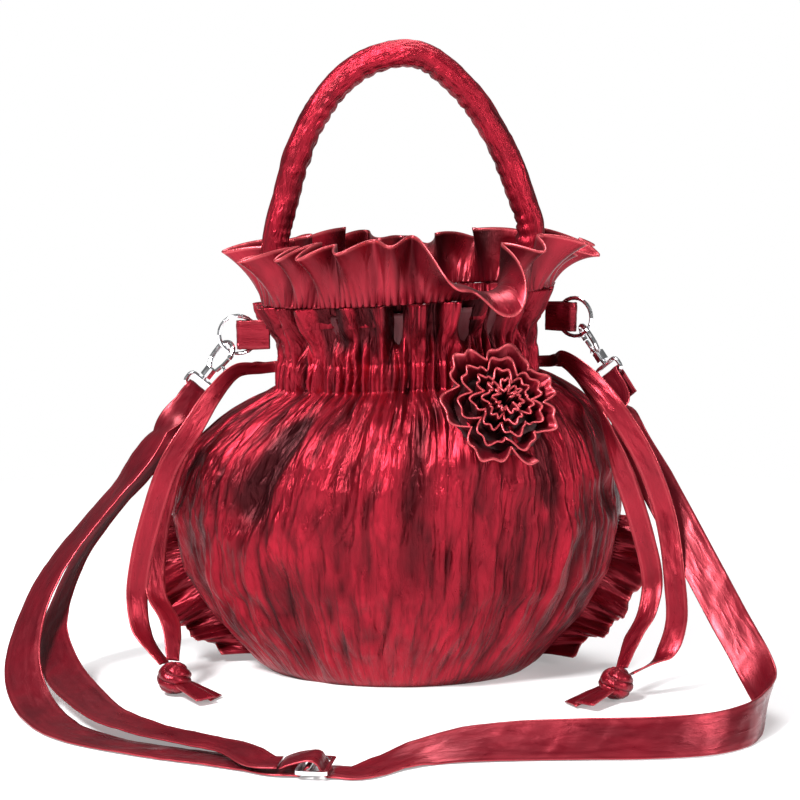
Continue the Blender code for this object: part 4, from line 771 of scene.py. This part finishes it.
# body panels
# pressed folds: angle, spread in degrees, depth, lower and upper height, slant in degrees per metre
bodyFolds = [
    (-129.0, 8.0, 0.0090, 0.078, 0.138, 110.0), (-86.0, 5.5, 0.0052, 0.050, 0.140, 0.0),
    (-104.0, 5.5, 0.0030, 0.060, 0.140, -40.0), (-71.0, 5.5, 0.0030, 0.030, 0.110, 30.0),
    (-123.0, 6.0, 0.0042, 0.006, 0.066, 60.0), (-22.0, 7.0, 0.0050, 0.080, 0.132, -260.0),
    (-58.0, 6.5, 0.0040, 0.020, 0.098, 50.0), (-158.0, 6.5, 0.0038, 0.030, 0.110, 0.0),
    (35.0, 8.0, 0.0054, 0.050, 0.136, -90.0), (78.0, 7.0, 0.0064, 0.060, 0.138, 60.0),
    (112.0, 6.5, 0.0040, 0.014, 0.090, 0.0), (146.0, 8.0, 0.0058, 0.060, 0.136, 120.0),
    (-142.0, 3.0, 0.0024, 0.030, 0.090, -80.0), (-40.0, 4.0, 0.0026, 0.010, 0.070, 60.0),
    (-112.0, 2.6, 0.0022, 0.020, 0.100, 40.0), (-96.0, 2.6, 0.0022, 0.010, 0.080, -20.0),
]
# deep shadows between the collar's sections: angle, spread in degrees, depth
collarFolds = [(-119.0, 4.5, 0.0085), (-96.0, 4.0, 0.0075), (-62.0, 5.0, 0.0085), (-143.0, 4.0, 0.0055),
               (-30.0, 4.5, 0.0055), (40.0, 6.0, 0.0060), (86.0, 5.0, 0.0065), (130.0, 6.0, 0.0060)]


# ridges of the crinkle: depth, width and length in metres, seed
crinkles = [(0.0034, 0.0125, 0.075, 8), (0.0022, 0.0060, 0.034, 9), (0.0010, 0.0030, 0.013, 10)]
# thin creases: weight of their depth and of their painted shade, share of the bend, width and length in
# metres, thickness as a share of noise, seed
thinCreases = [(1.0, 1.0, 0.0090, 0.085, 0.10, 14), (0.8, 1.2, 0.0062, 0.050, 0.13, 15),
               (0.6, -1.0, 0.0085, 0.030, 0.09, 16)]
gathers = {
    "fine": 0.0034, "fineFall": 0.010, "medium": 0.0040, "mediumFall": 0.024, "mediumRise": 0.018,
    "coarse": 0.0046, "coarseFall": 0.040, "collar": 0.0040, "middle": 0.42, "round": 0.1,
    "creaseDepth": 0.0013, "swell": 0.0030, "seam": 0.0004, "seamWidth": 0.0011, "tube": 0.0003,
}


def bodyRelief(angle, z):
    # pressed folds are Gaussian valleys in angle inside a window of heights; gathers are sine pleats of three
    # counts whose size falls off away from the channel; crinkle is ridged noise drawn out upwards, with thin
    # creases where noise crosses its middle; the channel has a stitched groove along each edge
    low, high = bag["channelLow"], bag["channelHigh"]
    degrees = np.degrees(angle)
    folds = np.zeros(np.broadcast(angle, z).shape)
    for centre, spread, depth, start, end, slant in bodyFolds:
        offset = (degrees - centre - slant * (z - (start + end) / 2)) / spread
        window = smoothStep(z, start - 0.012, start + 0.014) * (1 - smoothStep(z, end - 0.014, end + 0.004))
        folds -= depth * np.exp(-(offset**2)) * window
    for centre, spread, depth in collarFolds:
        valley = np.exp(-(((degrees - centre) / spread) ** 2))
        folds -= depth * valley * smoothStep(z, high + 0.001, high + 0.013)
    arc = angle * gathers["round"]
    below = np.clip(low - z, 0, 1)
    above = np.clip(z - high, 0, 1)
    away = below + above
    wander = 1.7 * np.sin(7 * angle) + 0.9 * np.sin(13 * angle + 0.4)
    vary = 0.35 + 1.3 * gradientNoise(arc / 0.007, z * 0 + 2.5, 3)
    varyWide = 0.35 + 1.3 * gradientNoise(arc / 0.013, z * 0 + 7.5, 13)
    fineDrift = 2.6 * (gradientNoise(arc / 0.02, z / 0.01, 4) - 0.5)
    mediumDrift = 3.4 * (gradientNoise(arc / 0.03, z / 0.03, 5) - 0.5)
    coarseDrift = gradientNoise(arc / 0.05, z / 0.05, 6)
    fine = 0.5 + 0.5 * np.sin(82 * angle + wander + fineDrift)
    medium = 0.5 + 0.5 * np.sin(43 * angle + 1.4 * wander + mediumDrift)
    coarse = 0.5 + 0.5 * np.sin(24 * angle + 1.1 * np.sin(5 * angle + 0.6) + coarseDrift - 0.5)
    fineSize = gathers["fine"] * np.exp(-below / gathers["fineFall"]) * np.exp(-above / gathers["fineFall"])
    mediumSize = gathers["medium"] * np.exp(-below / gathers["mediumFall"])
    mediumSize = mediumSize * np.exp(-above / gathers["mediumRise"])
    mediumSize = mediumSize * smoothStep(away, 0.0004, 0.007)
    coarseSize = gathers["coarse"] * np.exp(-below / gathers["coarseFall"])
    coarseSize = coarseSize + gathers["collar"] * smoothStep(above, 0.002, 0.014)
    coarseSize = coarseSize * smoothStep(away, 0.003, 0.018)
    pleats = vary * fineSize * fine + varyWide * (mediumSize * medium**1.4 + coarseSize * coarse**1.3)
    pleats = pleats - gathers["middle"] * (fineSize + mediumSize + coarseSize)
    calm = smoothStep(z, 0.0, 0.02)
    steady = 1 - 0.25 * smoothStep(z, low - 0.010, low) * (1 - smoothStep(z, high, high + 0.008))
    bend = 0.016 * (gradientNoise(arc / 0.05, z / 0.05, 7) - 0.5)
    bend = bend + 0.0035 * (gradientNoise(arc / 0.011, z / 0.018, 17) - 0.5)
    crinkle = sum(depth * (ridge((arc + bend) / width, z / length, seed) - 0.6)
                  for depth, width, length, seed in crinkles)
    crinkle = crinkle + gathers["swell"] * (gradientNoise(arc / 0.026, z / 0.040, 11) - 0.5)
    lines = np.zeros_like(crinkle)
    for dark, share, width, length, thickness, seed in thinCreases:
        lines = np.maximum(lines, dark * creases((arc + share * bend) / width, z / length, thickness, seed))
    crinkle = crinkle - gathers["creaseDepth"] * lines
    grooves = sum(np.exp(-(((z - edge) / gathers["seamWidth"]) ** 2)) for edge in (low, high))
    tube = gathers["tube"] * np.clip(np.sin(np.pi * np.clip((z - low) / (high - low), 0, 1)), 0, 1)
    return folds, pleats + crinkle * calm * steady, tube - gathers["seam"] * grooves, lines * calm * steady


def makePanels():
    # front and back cloth: rings of the outline pushed out by the relief, closed underneath and turned in
    # at the top
    look = {"columns": 440, "turnIn": 0.0048, "turnDown": 0.010, "valley": 0.0016, "valleyWidth": 0.0022,
            "slotHalf": 0.0042, "slotEdge": 0.0012, "slotFrom": 0.05}
    low, high = bag["channelLow"], bag["channelHigh"]
    upward = np.concatenate([
        np.linspace(0.0, 0.134, 116, endpoint=False), np.linspace(0.134, 0.160, 42, endpoint=False),
        np.linspace(0.160, bag["collarTop"], 30),
    ])
    for name, node, side in (("frontPanel", "front_panel", -1), ("backPanel", "back_panel", 1)):
        angle = side * np.linspace(0, math.pi, look["columns"])[None, :]
        z = upward[:, None]
        folds, pleats, line, lines = bodyRelief(angle, z)
        edge = smoothStep(np.abs(np.sin(angle)), 0.03, 0.30)
        seamArc = np.abs(np.sin(angle)) * halfDepth(z)
        valley = -look["valley"] * np.exp(-((seamArc / look["valleyWidth"]) ** 2))
        total = folds * edge + pleats * (0.35 + 0.65 * edge) + line + valley
        face = pushed(ringPoint(angle, z), total)
        base = []
        for share in (0.0, 0.4, 0.75, 0.92):
            ring = face[0].copy()
            ring[:, :2] = np.array([0.0, bag["seamY"]]) + (ring[:, :2] - [0.0, bag["seamY"]]) * share
            ring[:, 2] = 0.0
            base.append(ring)
        hem = []
        for share in (0.35, 1.0):
            hem.append(pushed(face[-1], np.full(look["columns"], -look["turnIn"] * share)))
        hem[0][:, 2] += 0.0003
        hem.append(hem[-1] - [0, 0, look["turnDown"]])
        points = lean(np.concatenate([base, face, hem]))
        points[..., 2] = np.maximum(points[..., 2], 0.0)
        rows = points.shape[0]
        faces = gridFaces(rows, look["columns"], False)
        if side < 0:
            faces = faces[:, ::-1]
        middle = points.reshape(-1, 3)[faces].mean(axis=1)
        nearSeam = np.abs(middle[:, 1] - bag["seamY"]) < look["slotHalf"]
        slot = nearSeam & (np.abs(middle[:, 0]) > look["slotFrom"])
        tilted = middle[:, 2] - bag["tilt"] * (middle[:, 0] - bag["shift"])
        slot &= (tilted > low + look["slotEdge"]) & (tilted < high - look["slotEdge"])
        faces = faces[~slot]
        heights = np.concatenate([np.full(len(base), 0.0), upward, np.full(len(hem), bag["collarTop"])])
        uv = np.stack(np.broadcast_arrays(angle * 0.1, heights[:, None]), axis=-1).reshape(-1, 2)
        # painted shade: darker in the pressed folds, the pleat valleys and the thin creases, and on the
        # turned-in hem
        depth = np.clip(-(folds + 0.0010) / 0.0060, 0, 0.90) * edge
        depth = np.maximum(depth, np.clip(-(pleats + 0.0004) / 0.0026, 0, 0.80))
        depth = np.maximum(depth, 0.50 * lines**1.5)
        pad = np.zeros((1, look["columns"]))
        shade = np.concatenate([np.repeat(pad, len(base), 0), depth, np.repeat(pad + 0.3, len(hem), 0)])
        item = meshFrom(name, points.reshape(-1, 3), faces, uv, made["crinkled"], None, shade)
        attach(item, "root")
        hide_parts(node)


def makeLining():
    # a smooth bag of cloth inside the panels: soft folds of low noise below the neck, and inward sine pleats
    # that fade away from the channel
    look = {"columns": 220, "wall": 0.0045, "ease": 0.0115, "neckEase": 0.0010, "top": 0.179, "belly": 0.0030}
    heights = np.concatenate([
        [0.0033] * 5, np.linspace(0.0033, 0.128, 42), np.linspace(0.130, look["top"], 26),
    ])
    shares = np.concatenate([[0.0, 0.3, 0.6, 0.85, 0.95], np.ones(68)])
    angle = np.linspace(-math.pi, math.pi, look["columns"], endpoint=False)[None, :]
    z = heights[:, None]
    under = bag["channelLow"] - bag["stitch"]
    wall = look["belly"] + (look["wall"] - look["belly"]) * smoothStep(z, 0.118, under)
    tight = smoothStep(z, 0.126, under)
    ease = wall + look["ease"] * (1 - tight) + (look["neckEase"] + 0.0005) * tight
    points = ringPoint(angle, z, ease)
    soft = 0.0030 * (gradientNoise(np.cos(angle) * 5 + 9, np.sin(angle) * 5 + z / 0.05, 71) - 0.5)
    pleat = 0.0016 * np.sin(30 * angle + 1.3 * np.sin(5 * angle)) * np.exp(-np.abs(z - 0.149) / 0.020)
    points = pushed(points, soft * (1 - tight) + np.minimum(pleat, 0.0))
    middle = np.array([0, bag["seamY"]])
    points[..., :2] = middle + (points[..., :2] - middle) * shares[:, None, None]
    points = lean(points)
    uv = np.stack(np.broadcast_arrays(angle * 0.09, z), axis=-1)
    # painted shade: the lining darkens towards the bottom of the bag
    shade = np.clip(0.55 - z / 0.25, 0, 0.5) * np.ones_like(angle)
    item = sheetFrom("liningBag", points, 0.0008, True, uv, made["lining"], None, shade)
    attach(item, "root")
    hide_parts("lining")


makePanels()
makeLining()
print("body made")


def makeFrill():
    # rises from the collar's edge and bends outwards more with height; sines of three counts wave it, a
    # folded sine puckers its root, and Gaussian windows in angle fold one petal over, droop the right side
    # and lift the left one
    look = {"height": 0.030, "thick": 0.0009, "flare": 0.42, "waves": 9, "wave": 0.0058, "second": 0.0046,
            "third": 0.0011, "columns": 900, "rows": 32, "inset": 0.0014, "petal": -66.0, "petalSpread": 14.0,
            "curl": 1.8, "pucker": 0.0020, "droop": 2.0, "droopSpread": 25.0, "droopCurl": 0.55,
            "shorter": 0.26, "lift": 0.15, "liftSpread": 22.0, "bend": 0.50}
    angle = np.linspace(-math.pi, math.pi, look["columns"], endpoint=False)
    root = ringPoint(angle, np.full_like(angle, bag["collarTop"]), look["inset"])
    outward = root[:, :2] - [0.0, bag["seamY"]]
    outward /= np.linalg.norm(outward, axis=1, keepdims=True)
    degrees = np.degrees(angle)
    curl = look["curl"] * np.exp(-(((degrees - look["petal"]) / look["petalSpread"]) ** 2))
    droop = np.exp(-(((degrees - look["droop"]) / look["droopSpread"]) ** 2))
    lift = np.exp(-(((np.abs(degrees) - 180) / look["liftSpread"]) ** 2))
    curl = curl + look["droopCurl"] * droop - look["lift"] * lift
    height = look["height"] * (1 + 0.10 * np.sin(3 * angle + 0.8) + 0.07 * np.sin(7 * angle))
    height = height * (1 - look["shorter"] * droop)
    height = height * (1 + 0.09 * (gradientNoise(degrees / 14 + 20, degrees * 0, 91) - 0.5))
    wave = np.sin(look["waves"] * angle + 0.9 * np.sin(2 * angle))
    second = np.sin(23 * angle + 1.6 * np.sin(3 * angle) + 0.7)
    third = np.sin(47 * angle + 2.2 * np.sin(5 * angle) + 0.3)
    pucker = np.abs(np.sin(70 * angle + 2.0 * np.sin(6 * angle))) - 0.5
    lively = 0.4 + 1.2 * gradientNoise(degrees / 17 + 20, degrees * 0 + 4, 92)
    rows, shares = [], np.linspace(0, 1, look["rows"])
    reach, rise = np.zeros_like(angle), np.full_like(angle, bag["gap"])
    for share in shares:
        ruffle = look["wave"] * wave * share + look["second"] * second * lively * share**0.8
        ruffle = ruffle + look["third"] * third * share**0.5 * math.exp(-share / 0.8)
        ruffle = ruffle + look["pucker"] * pucker * math.exp(-share / 0.22)
        ring = root.copy()
        ring[:, :2] += outward * (reach + ruffle)[:, None]
        ring[:, 2] += rise
        rows.append(ring)
        bend = look["flare"] * (0.35 + 0.9 * share) + curl * (0.35 + share)
        bend = bend + look["bend"] * second * lively * share
        reach = reach + np.sin(bend) * height / look["rows"]
        rise = rise + np.cos(bend) * height / look["rows"]
    points = lean(np.array(rows))
    uv = np.stack(np.broadcast_arrays(angle[None, :] * 0.09, shares[:, None] * look["height"]), axis=-1)
    band = smoothStep(shares, 0.945, 0.960)[:, None] * np.ones_like(angle)
    # painted shade: darker at the puckered root and in the valleys of the waves
    shade = np.clip(0.75 * np.exp(-shares / 0.14)[:, None] * (0.6 - pucker), 0, 0.7)
    shade = np.maximum(shade, np.clip(-0.60 * wave * shares[:, None] ** 0.5 - 0.20, 0, 0.45))
    shade = np.maximum(shade, np.clip(-0.95 * second * lively * shares[:, None] ** 0.4 - 0.12, 0, 0.85))
    item = sheetFrom("topFrill", points, look["thick"], True, uv, made["plain"], band * 0.75, shade)
    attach(item, "root")
    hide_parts("top_frill")


def makeRuffles():
    # a strip out of each side seam: sines wave it sideways, growing by a 1.2 power of the distance from the
    # seam, and a folded sine puckers its root
    look = {"top": 0.074, "foot": 0.0045, "width": 0.017, "wave": 0.0072, "waves": 4.5, "thick": 0.0009,
            "gap": 0.0011, "columns": 420, "rows": 34}
    for name, node, side in (("leftRuffle", "left_side_ruffle", -1), ("rightRuffle", "right_side_ruffle", 1)):
        share = np.linspace(0, 1, look["columns"])
        z = look["top"] + (look["foot"] - look["top"]) * share
        slope = (halfWidth(z + 0.004) - halfWidth(z - 0.003)) / 0.007
        outZ = np.clip(-slope * smoothStep(z, 0.010, 0.040), -0.9, 0.4)
        outward = np.stack([np.full_like(z, side), np.zeros_like(z), outZ], axis=1)
        outward /= np.linalg.norm(outward, axis=1, keepdims=True)
        start = np.stack([side * (halfWidth(z) - 0.0004), np.full_like(z, bag["seamY"]), z], axis=1)
        width = look["width"] * (0.35 + 0.65 * smoothStep(share, 0, 0.22))
        width = width * (1 - 0.15 * smoothStep(share, 0.85, 1))
        wave = np.sin(2 * math.pi * look["waves"] * share + (0.0 if side < 0 else 1.3))
        small = np.sin(2 * math.pi * 17 * share + 1.5 * np.sin(9 * share))
        pucker = np.abs(np.sin(2 * math.pi * 24 * share)) - 0.5
        rows, reaches = [], np.linspace(0, 1, look["rows"])
        for reach in reaches:
            row = start + outward * ((width + 0.0015) * reach)[:, None]
            row[:, 1] += look["wave"] * wave * reach**1.2 - 0.004 * reach + 0.0014 * small * reach
            row[:, 1] += 0.0009 * pucker * math.exp(-reach / 0.15)
            row[:, 2] = np.maximum(row[:, 2], 0.0010)
            rows.append(row)
        points = np.array(rows)
        uv = np.stack(np.broadcast_arrays(share[None, :] * 0.12, reaches[:, None] * 0.018), axis=-1)
        band = smoothStep(reaches, 0.90, 0.93)[:, None] * np.ones_like(share)
        # painted shade: darker at the puckered root beside the seam
        shade = np.clip(0.5 * np.exp(-reaches / 0.14)[:, None] * (0.7 - pucker), 0, 0.6)
        item = sheetFrom(name, points, look["thick"], False, uv, made["plain"], band * 0.75, shade)
        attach(item, "root")
        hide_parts(node)


def makeHandle():
    # a padded tube along an arch: sine puckers on its inner side, noise lumps from the filling and ridged
    # noise are added to its radius, and a Gaussian seam and thin creases are taken from it
    look = {"radius": 0.0068, "seat": 0.170, "inset": 0.0045 + 0.0010 + 0.0012 + 0.0003 + 0.0068,
            "around": 72, "step": 0.0011, "pucker": 0.0004, "lump": 0.0006, "seam": 0.0011, "seamWidth": 0.16,
            "crease": 0.0003}
    foot = float(halfWidth(look["seat"])) - look["inset"] - 0.0004
    rise = ((-foot, look["seat"]), (-foot - 0.0035, 0.184), (-0.0640, 0.204), (-0.0575, 0.2386),
            (-0.0515, 0.2586),
            (-0.0415, 0.277), (-0.0310, 0.2888), (-0.0185, 0.2965), (-0.0040, 0.2995), (0.0085, 0.2970),
            (0.0192, 0.2886), (0.0300, 0.2772), (0.0402, 0.2615), (0.0492, 0.2432), (0.0556, 0.2256),
            (0.0598, 0.2110), (foot + 0.0035, 0.184), (foot, look["seat"]))
    path = lean(evenPath([(x, bag["seamY"], z) for x, z in rise], look["step"]))
    along = np.gradient(path, axis=0)
    along /= np.linalg.norm(along, axis=1, keepdims=True)
    front = np.array([0.0, -1.0, 0.0])
    out = np.cross(front, along)
    out /= np.linalg.norm(out, axis=1, keepdims=True)
    reach = np.concatenate([[0], np.cumsum(np.linalg.norm(np.diff(path, axis=0), axis=1))])
    turn = np.linspace(0, 2 * math.pi, look["around"], endpoint=False)
    inside = 0.5 - 0.5 * np.cos(turn)
    wander = 2.0 * (gradientNoise(reach / 0.02, reach * 0, 41) - 0.5)[:, None]
    folds = np.sin(2 * math.pi * reach[:, None] / 0.0068 + 5 * wander + 1.2 * np.sin(turn * 2))
    folds = folds * (0.2 + 1.2 * gradientNoise(reach / 0.012, reach * 0 + 2, 44))[:, None]
    lumps = gradientNoise(reach[:, None] / 0.011, 3 + 1.5 * np.cos(turn), 42) - 0.5
    crease = ridge(reach[:, None] / 0.0042 + np.cos(turn), 5 + 2.2 * np.sin(turn), 43) - 0.6
    seam = -look["seam"] * np.exp(-(((turn - math.pi) / look["seamWidth"]) ** 2))
    lines = creases(turn / 0.45 + 9, reach[:, None] / 0.030, 0.10, 45)
    radius = look["radius"] + look["pucker"] * folds * inside**1.8 + look["lump"] * lumps
    radius = radius + look["crease"] * crease + seam - look["crease"] * lines
    sideways = out[:, None] * (radius * np.cos(turn))[..., None]
    points = path[:, None] + sideways + front * (radius * np.sin(turn))[..., None]
    rings, count = points.shape[:2]
    uv = np.stack(np.broadcast_arrays(turn * look["radius"], reach[:, None]), axis=-1).reshape(-1, 2)
    # painted shade: darker where the tube's radius dips, in puckers, creases and the seam
    shade = np.clip(-(radius - look["radius"]) / 0.0022 - 0.1, 0, 0.6)
    item = meshFrom("carryHandle", points.reshape(-1, 3), gridFaces(rings, count, True)[:, ::-1], uv,
                    made["crinkled"], None, shade)
    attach(item, "root")
    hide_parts("carry_handle")


def makeRosette():
    # a spiral ribbon: its radius grows with the turn; petals, the 0.7 power of a sine's size, and small sines
    # grow towards its free edge, which opens outwards by a quarter
    look = {"radius": 0.0285, "spiral": 0.0238, "core": 0.0030, "turns": 4.8, "height": 0.0110,
            "thick": 0.0008, "backing": 0.0014, "disc": 0.0235, "steps": 1500, "rows": 15, "wave": 0.0030,
            "open": 0.24, "widest": 1.26}
    outward = np.array(Vector((0.32, -0.79, 0.53)).normalized())
    across = np.cross([0, 0, 1], outward)
    across /= np.linalg.norm(across)
    axes = np.array([across, np.cross(outward, across), outward])
    lowest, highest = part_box("rosette_backing")
    base = (np.array(lowest) + np.array(highest)) / 2 - outward * look["backing"] / 2
    share = np.linspace(0, 1, look["steps"])
    turn = 2 * math.pi * look["turns"] * share**0.8
    radius = look["core"] + (look["spiral"] - look["core"]) * share**0.95
    meander = 2 * np.abs(np.sin(3.5 * turn + 0.5 * np.sin(0.8 * turn))) ** 0.7 - 1
    small = np.sin(17.0 * turn + 1.1 * np.sin(3 * turn))
    height = look["height"] * (1.0 - 0.35 * share) * (1 + 0.12 * np.sin(5.1 * turn))
    rows, rises = [], np.linspace(0, 1, look["rows"])
    for rise in rises:
        wave = look["wave"] * (0.45 + 0.55 * share) * meander * (0.5 + 0.75 * rise) + 0.0010 * small * rise
        size = (radius + wave) * (1 + look["open"] * rise**1.5 * share)
        spread = look["radius"] * look["widest"] - look["disc"]
        limit = look["disc"] - 0.001 + spread * smoothStep(rise, 0, 0.25)
        size = np.minimum(size, limit)
        flat = np.stack([size * np.cos(turn), size * np.sin(turn)], axis=1)
        rows.append(base + np.column_stack([flat, look["backing"] + 0.0005 + height * rise]) @ axes)
    points = np.array(rows)
    uv = np.stack(np.broadcast_arrays(share[None, :] * 0.5, rises[:, None] * 0.012), axis=-1)
    band = smoothStep(rises, 0.86, 0.90)[:, None] * np.ones_like(share)
    # painted shade: darker low on the ribbon towards the backing, and in the inner turns
    shade = np.clip(0.98 - 1.15 * rises, 0, 0.95)[:, None] * (1 - 0.45 * share)
    ribbon = sheetFrom("rosetteRibbon", points, look["thick"], False, uv, made["plain"], band * 0.9, shade)
    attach(ribbon, "root")
    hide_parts("rosette_ribbon")
    flat = (toFive(gridLength(points)), toFive(look["height"]))
    print("rosette ribbon cut", flat)
    aroundDisc = np.linspace(0, 2 * math.pi, 96, endpoint=False)
    rings = []
    profile = ((0.0, 0.0014), (0.5, 0.0014), (0.9, 0.0014), (1.0, 0.0010), (1.0, 0.0003), (0.9, 0.0))
    pucker = 1 + 0.015 * np.sin(24 * aroundDisc)
    for size, level in profile:
        reach = size * look["disc"] * pucker
        flat = np.stack([reach * np.cos(aroundDisc), reach * np.sin(aroundDisc)], 1)
        rings.append(base + np.column_stack([flat, np.full_like(aroundDisc, level)]) @ axes)
    discPoints = np.array(rings)
    uv = np.stack(np.broadcast_arrays(aroundDisc[None, :] * 0.02, np.arange(6)[:, None] * 0.005), axis=-1)
    uv = uv.reshape(-1, 2)
    # painted shade: the whole backing disc is darkened by half
    disc = meshFrom("rosetteBacking", discPoints.reshape(-1, 3), gridFaces(6, 96, True), uv, made["lining"],
                    None, np.full(6 * 96, 0.5))
    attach(disc, "root")
    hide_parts("rosette_backing")


def makeTabs():
    # a strip folded round the ring's wire; its width varies by a sine of six hundredths from point to point
    for word in ("left", "right"):
        side = sides[word]
        size = side.size
        fold = size["neck"] + size["ring"] + 0.0004
        half = size["wire"] + size["ringGap"] + size["cloth"] / 2
        bend = np.radians(np.linspace(-90, 90, 9))
        outline = [(-0.0012, -half * 0.75), (fold * 0.5, -half * 0.92)]
        outline += [(fold - half + half * math.cos(b), half * math.sin(b)) for b in bend]
        outline += [(fold * 0.5, half * 0.92), (-0.0012, half * 0.75)]
        places = [side.anchor + side.out * x + side.normal * y for x, y in outline]
        widths = [2 * size["tabHalf"] * (1.0 + 0.06 * math.sin(3.1 * i)) for i in range(len(places))]
        rows = [(place, (0.0, 0.0, 1.0), width) for place, width in zip(places, widths)]
        look = {"step": 0.0006, "thick": 0.0011, "across": 33, "groove": 0.00015, "seam": 0.84, "seed": 81,
                "ripple": 0.0007, "edge": 0.5}
        item, path, length = bandMesh(word + "RingTab", rows, made["plain"], look)
        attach(item, "root")
        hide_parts(word + "_ring_tab")
        print(word, "tab strip", round(length, 4))


makeFrill()
makeRuffles()
makeHandle()
makeRosette()
makeTabs()
print("trims made")


# plain pale floor and soft light
def makeStage():
    # the floor glows a little so that it stays pale, and turns fully white away from the bag; the glow lights
    # the bag by a quarter of what the camera sees of it
    look = {"bagAt": 0.18, "whiteAt": 0.62, "glow": 0.30, "unseen": 0.25, "half": 6, "world": 0.15}
    material, nodes, links = newMaterial("floor")
    nodes["Principled BSDF"].inputs["Base Color"].default_value = (0.93, 0.93, 0.94, 1)
    nodes["Principled BSDF"].inputs["Roughness"].default_value = 0.7
    glow = nodes.new("ShaderNodeEmission")
    glow.inputs["Color"].default_value = (1, 1, 1, 1)
    place = nodes.new("ShaderNodeTexCoord")
    distance = nodes.new("ShaderNodeVectorMath")
    distance.operation = "LENGTH"
    links.new(place.outputs["Object"], distance.inputs[0])
    fade = ranged(nodes, links, distance.outputs["Value"], look["bagAt"], look["whiteAt"], look["glow"], 1.0)
    both = nodes.new("ShaderNodeMixShader")
    sight = nodes.new("ShaderNodeLightPath")
    seen = ranged(nodes, links, sight.outputs["Is Camera Ray"], 0.0, 1.0, look["unseen"], 1.0)
    share = nodes.new("ShaderNodeMath")
    share.operation = "MULTIPLY"
    links.new(fade, share.inputs[0])
    links.new(seen, share.inputs[1])
    links.new(share.outputs["Value"], both.inputs["Fac"])
    links.new(nodes["Principled BSDF"].outputs["BSDF"], both.inputs[1])
    links.new(glow.outputs["Emission"], both.inputs[2])
    links.new(both.outputs["Shader"], nodes["Material Output"].inputs["Surface"])
    mesh = bpy.data.meshes.new("floor")
    half = look["half"]
    corners = [(-half, -half, 0), (half, -half, 0), (half, half, 0), (-half, half, 0)]
    mesh.from_pydata(corners, [], [(0, 1, 2, 3)])
    mesh.materials.append(material)
    floor = bpy.data.objects.new("floor", mesh)
    bpy.context.scene.collection.objects.link(floor)
    for name, place, aim, size, power in (
        ("keyLight", (-0.60, -0.80, 1.05), (0, 0, 0.12), 0.30, 38.0),
        ("fillLight", (0.95, -0.70, 0.55), (0, 0, 0.12), 0.40, 7.0),
        ("topLight", (0.10, 0.35, 1.30), (0, 0, 0.15), 0.55, 15.0),
    ):
        data = bpy.data.lights.new(name, "AREA")
        data.shape, data.size, data.energy = "SQUARE", size, power
        item = bpy.data.objects.new(name, data)
        item.location = place
        item.rotation_euler = (Vector(aim) - Vector(place)).to_track_quat("-Z", "Y").to_euler()
        bpy.context.scene.collection.objects.link(item)
    world = bpy.data.worlds.new("world")
    bpy.context.scene.world = world
    world.use_nodes = True
    nodes, links = world.node_tree.nodes, world.node_tree.links
    soft = nodes["Background"]
    soft.inputs["Color"].default_value = (1, 1, 1, 1)
    soft.inputs["Strength"].default_value = look["world"]
    white = nodes.new("ShaderNodeBackground")
    white.inputs["Color"].default_value = (1, 1, 1, 1)
    white.inputs["Strength"].default_value = 1.0
    path = nodes.new("ShaderNodeLightPath")
    blend = nodes.new("ShaderNodeMixShader")
    links.new(path.outputs["Is Camera Ray"], blend.inputs["Fac"])
    links.new(soft.outputs["Background"], blend.inputs[1])
    links.new(white.outputs["Background"], blend.inputs[2])
    links.new(blend.outputs["Shader"], nodes["World Output"].inputs["Surface"])
    bpy.context.scene.view_settings.view_transform = "Standard"


makeStage()
print("stage made")
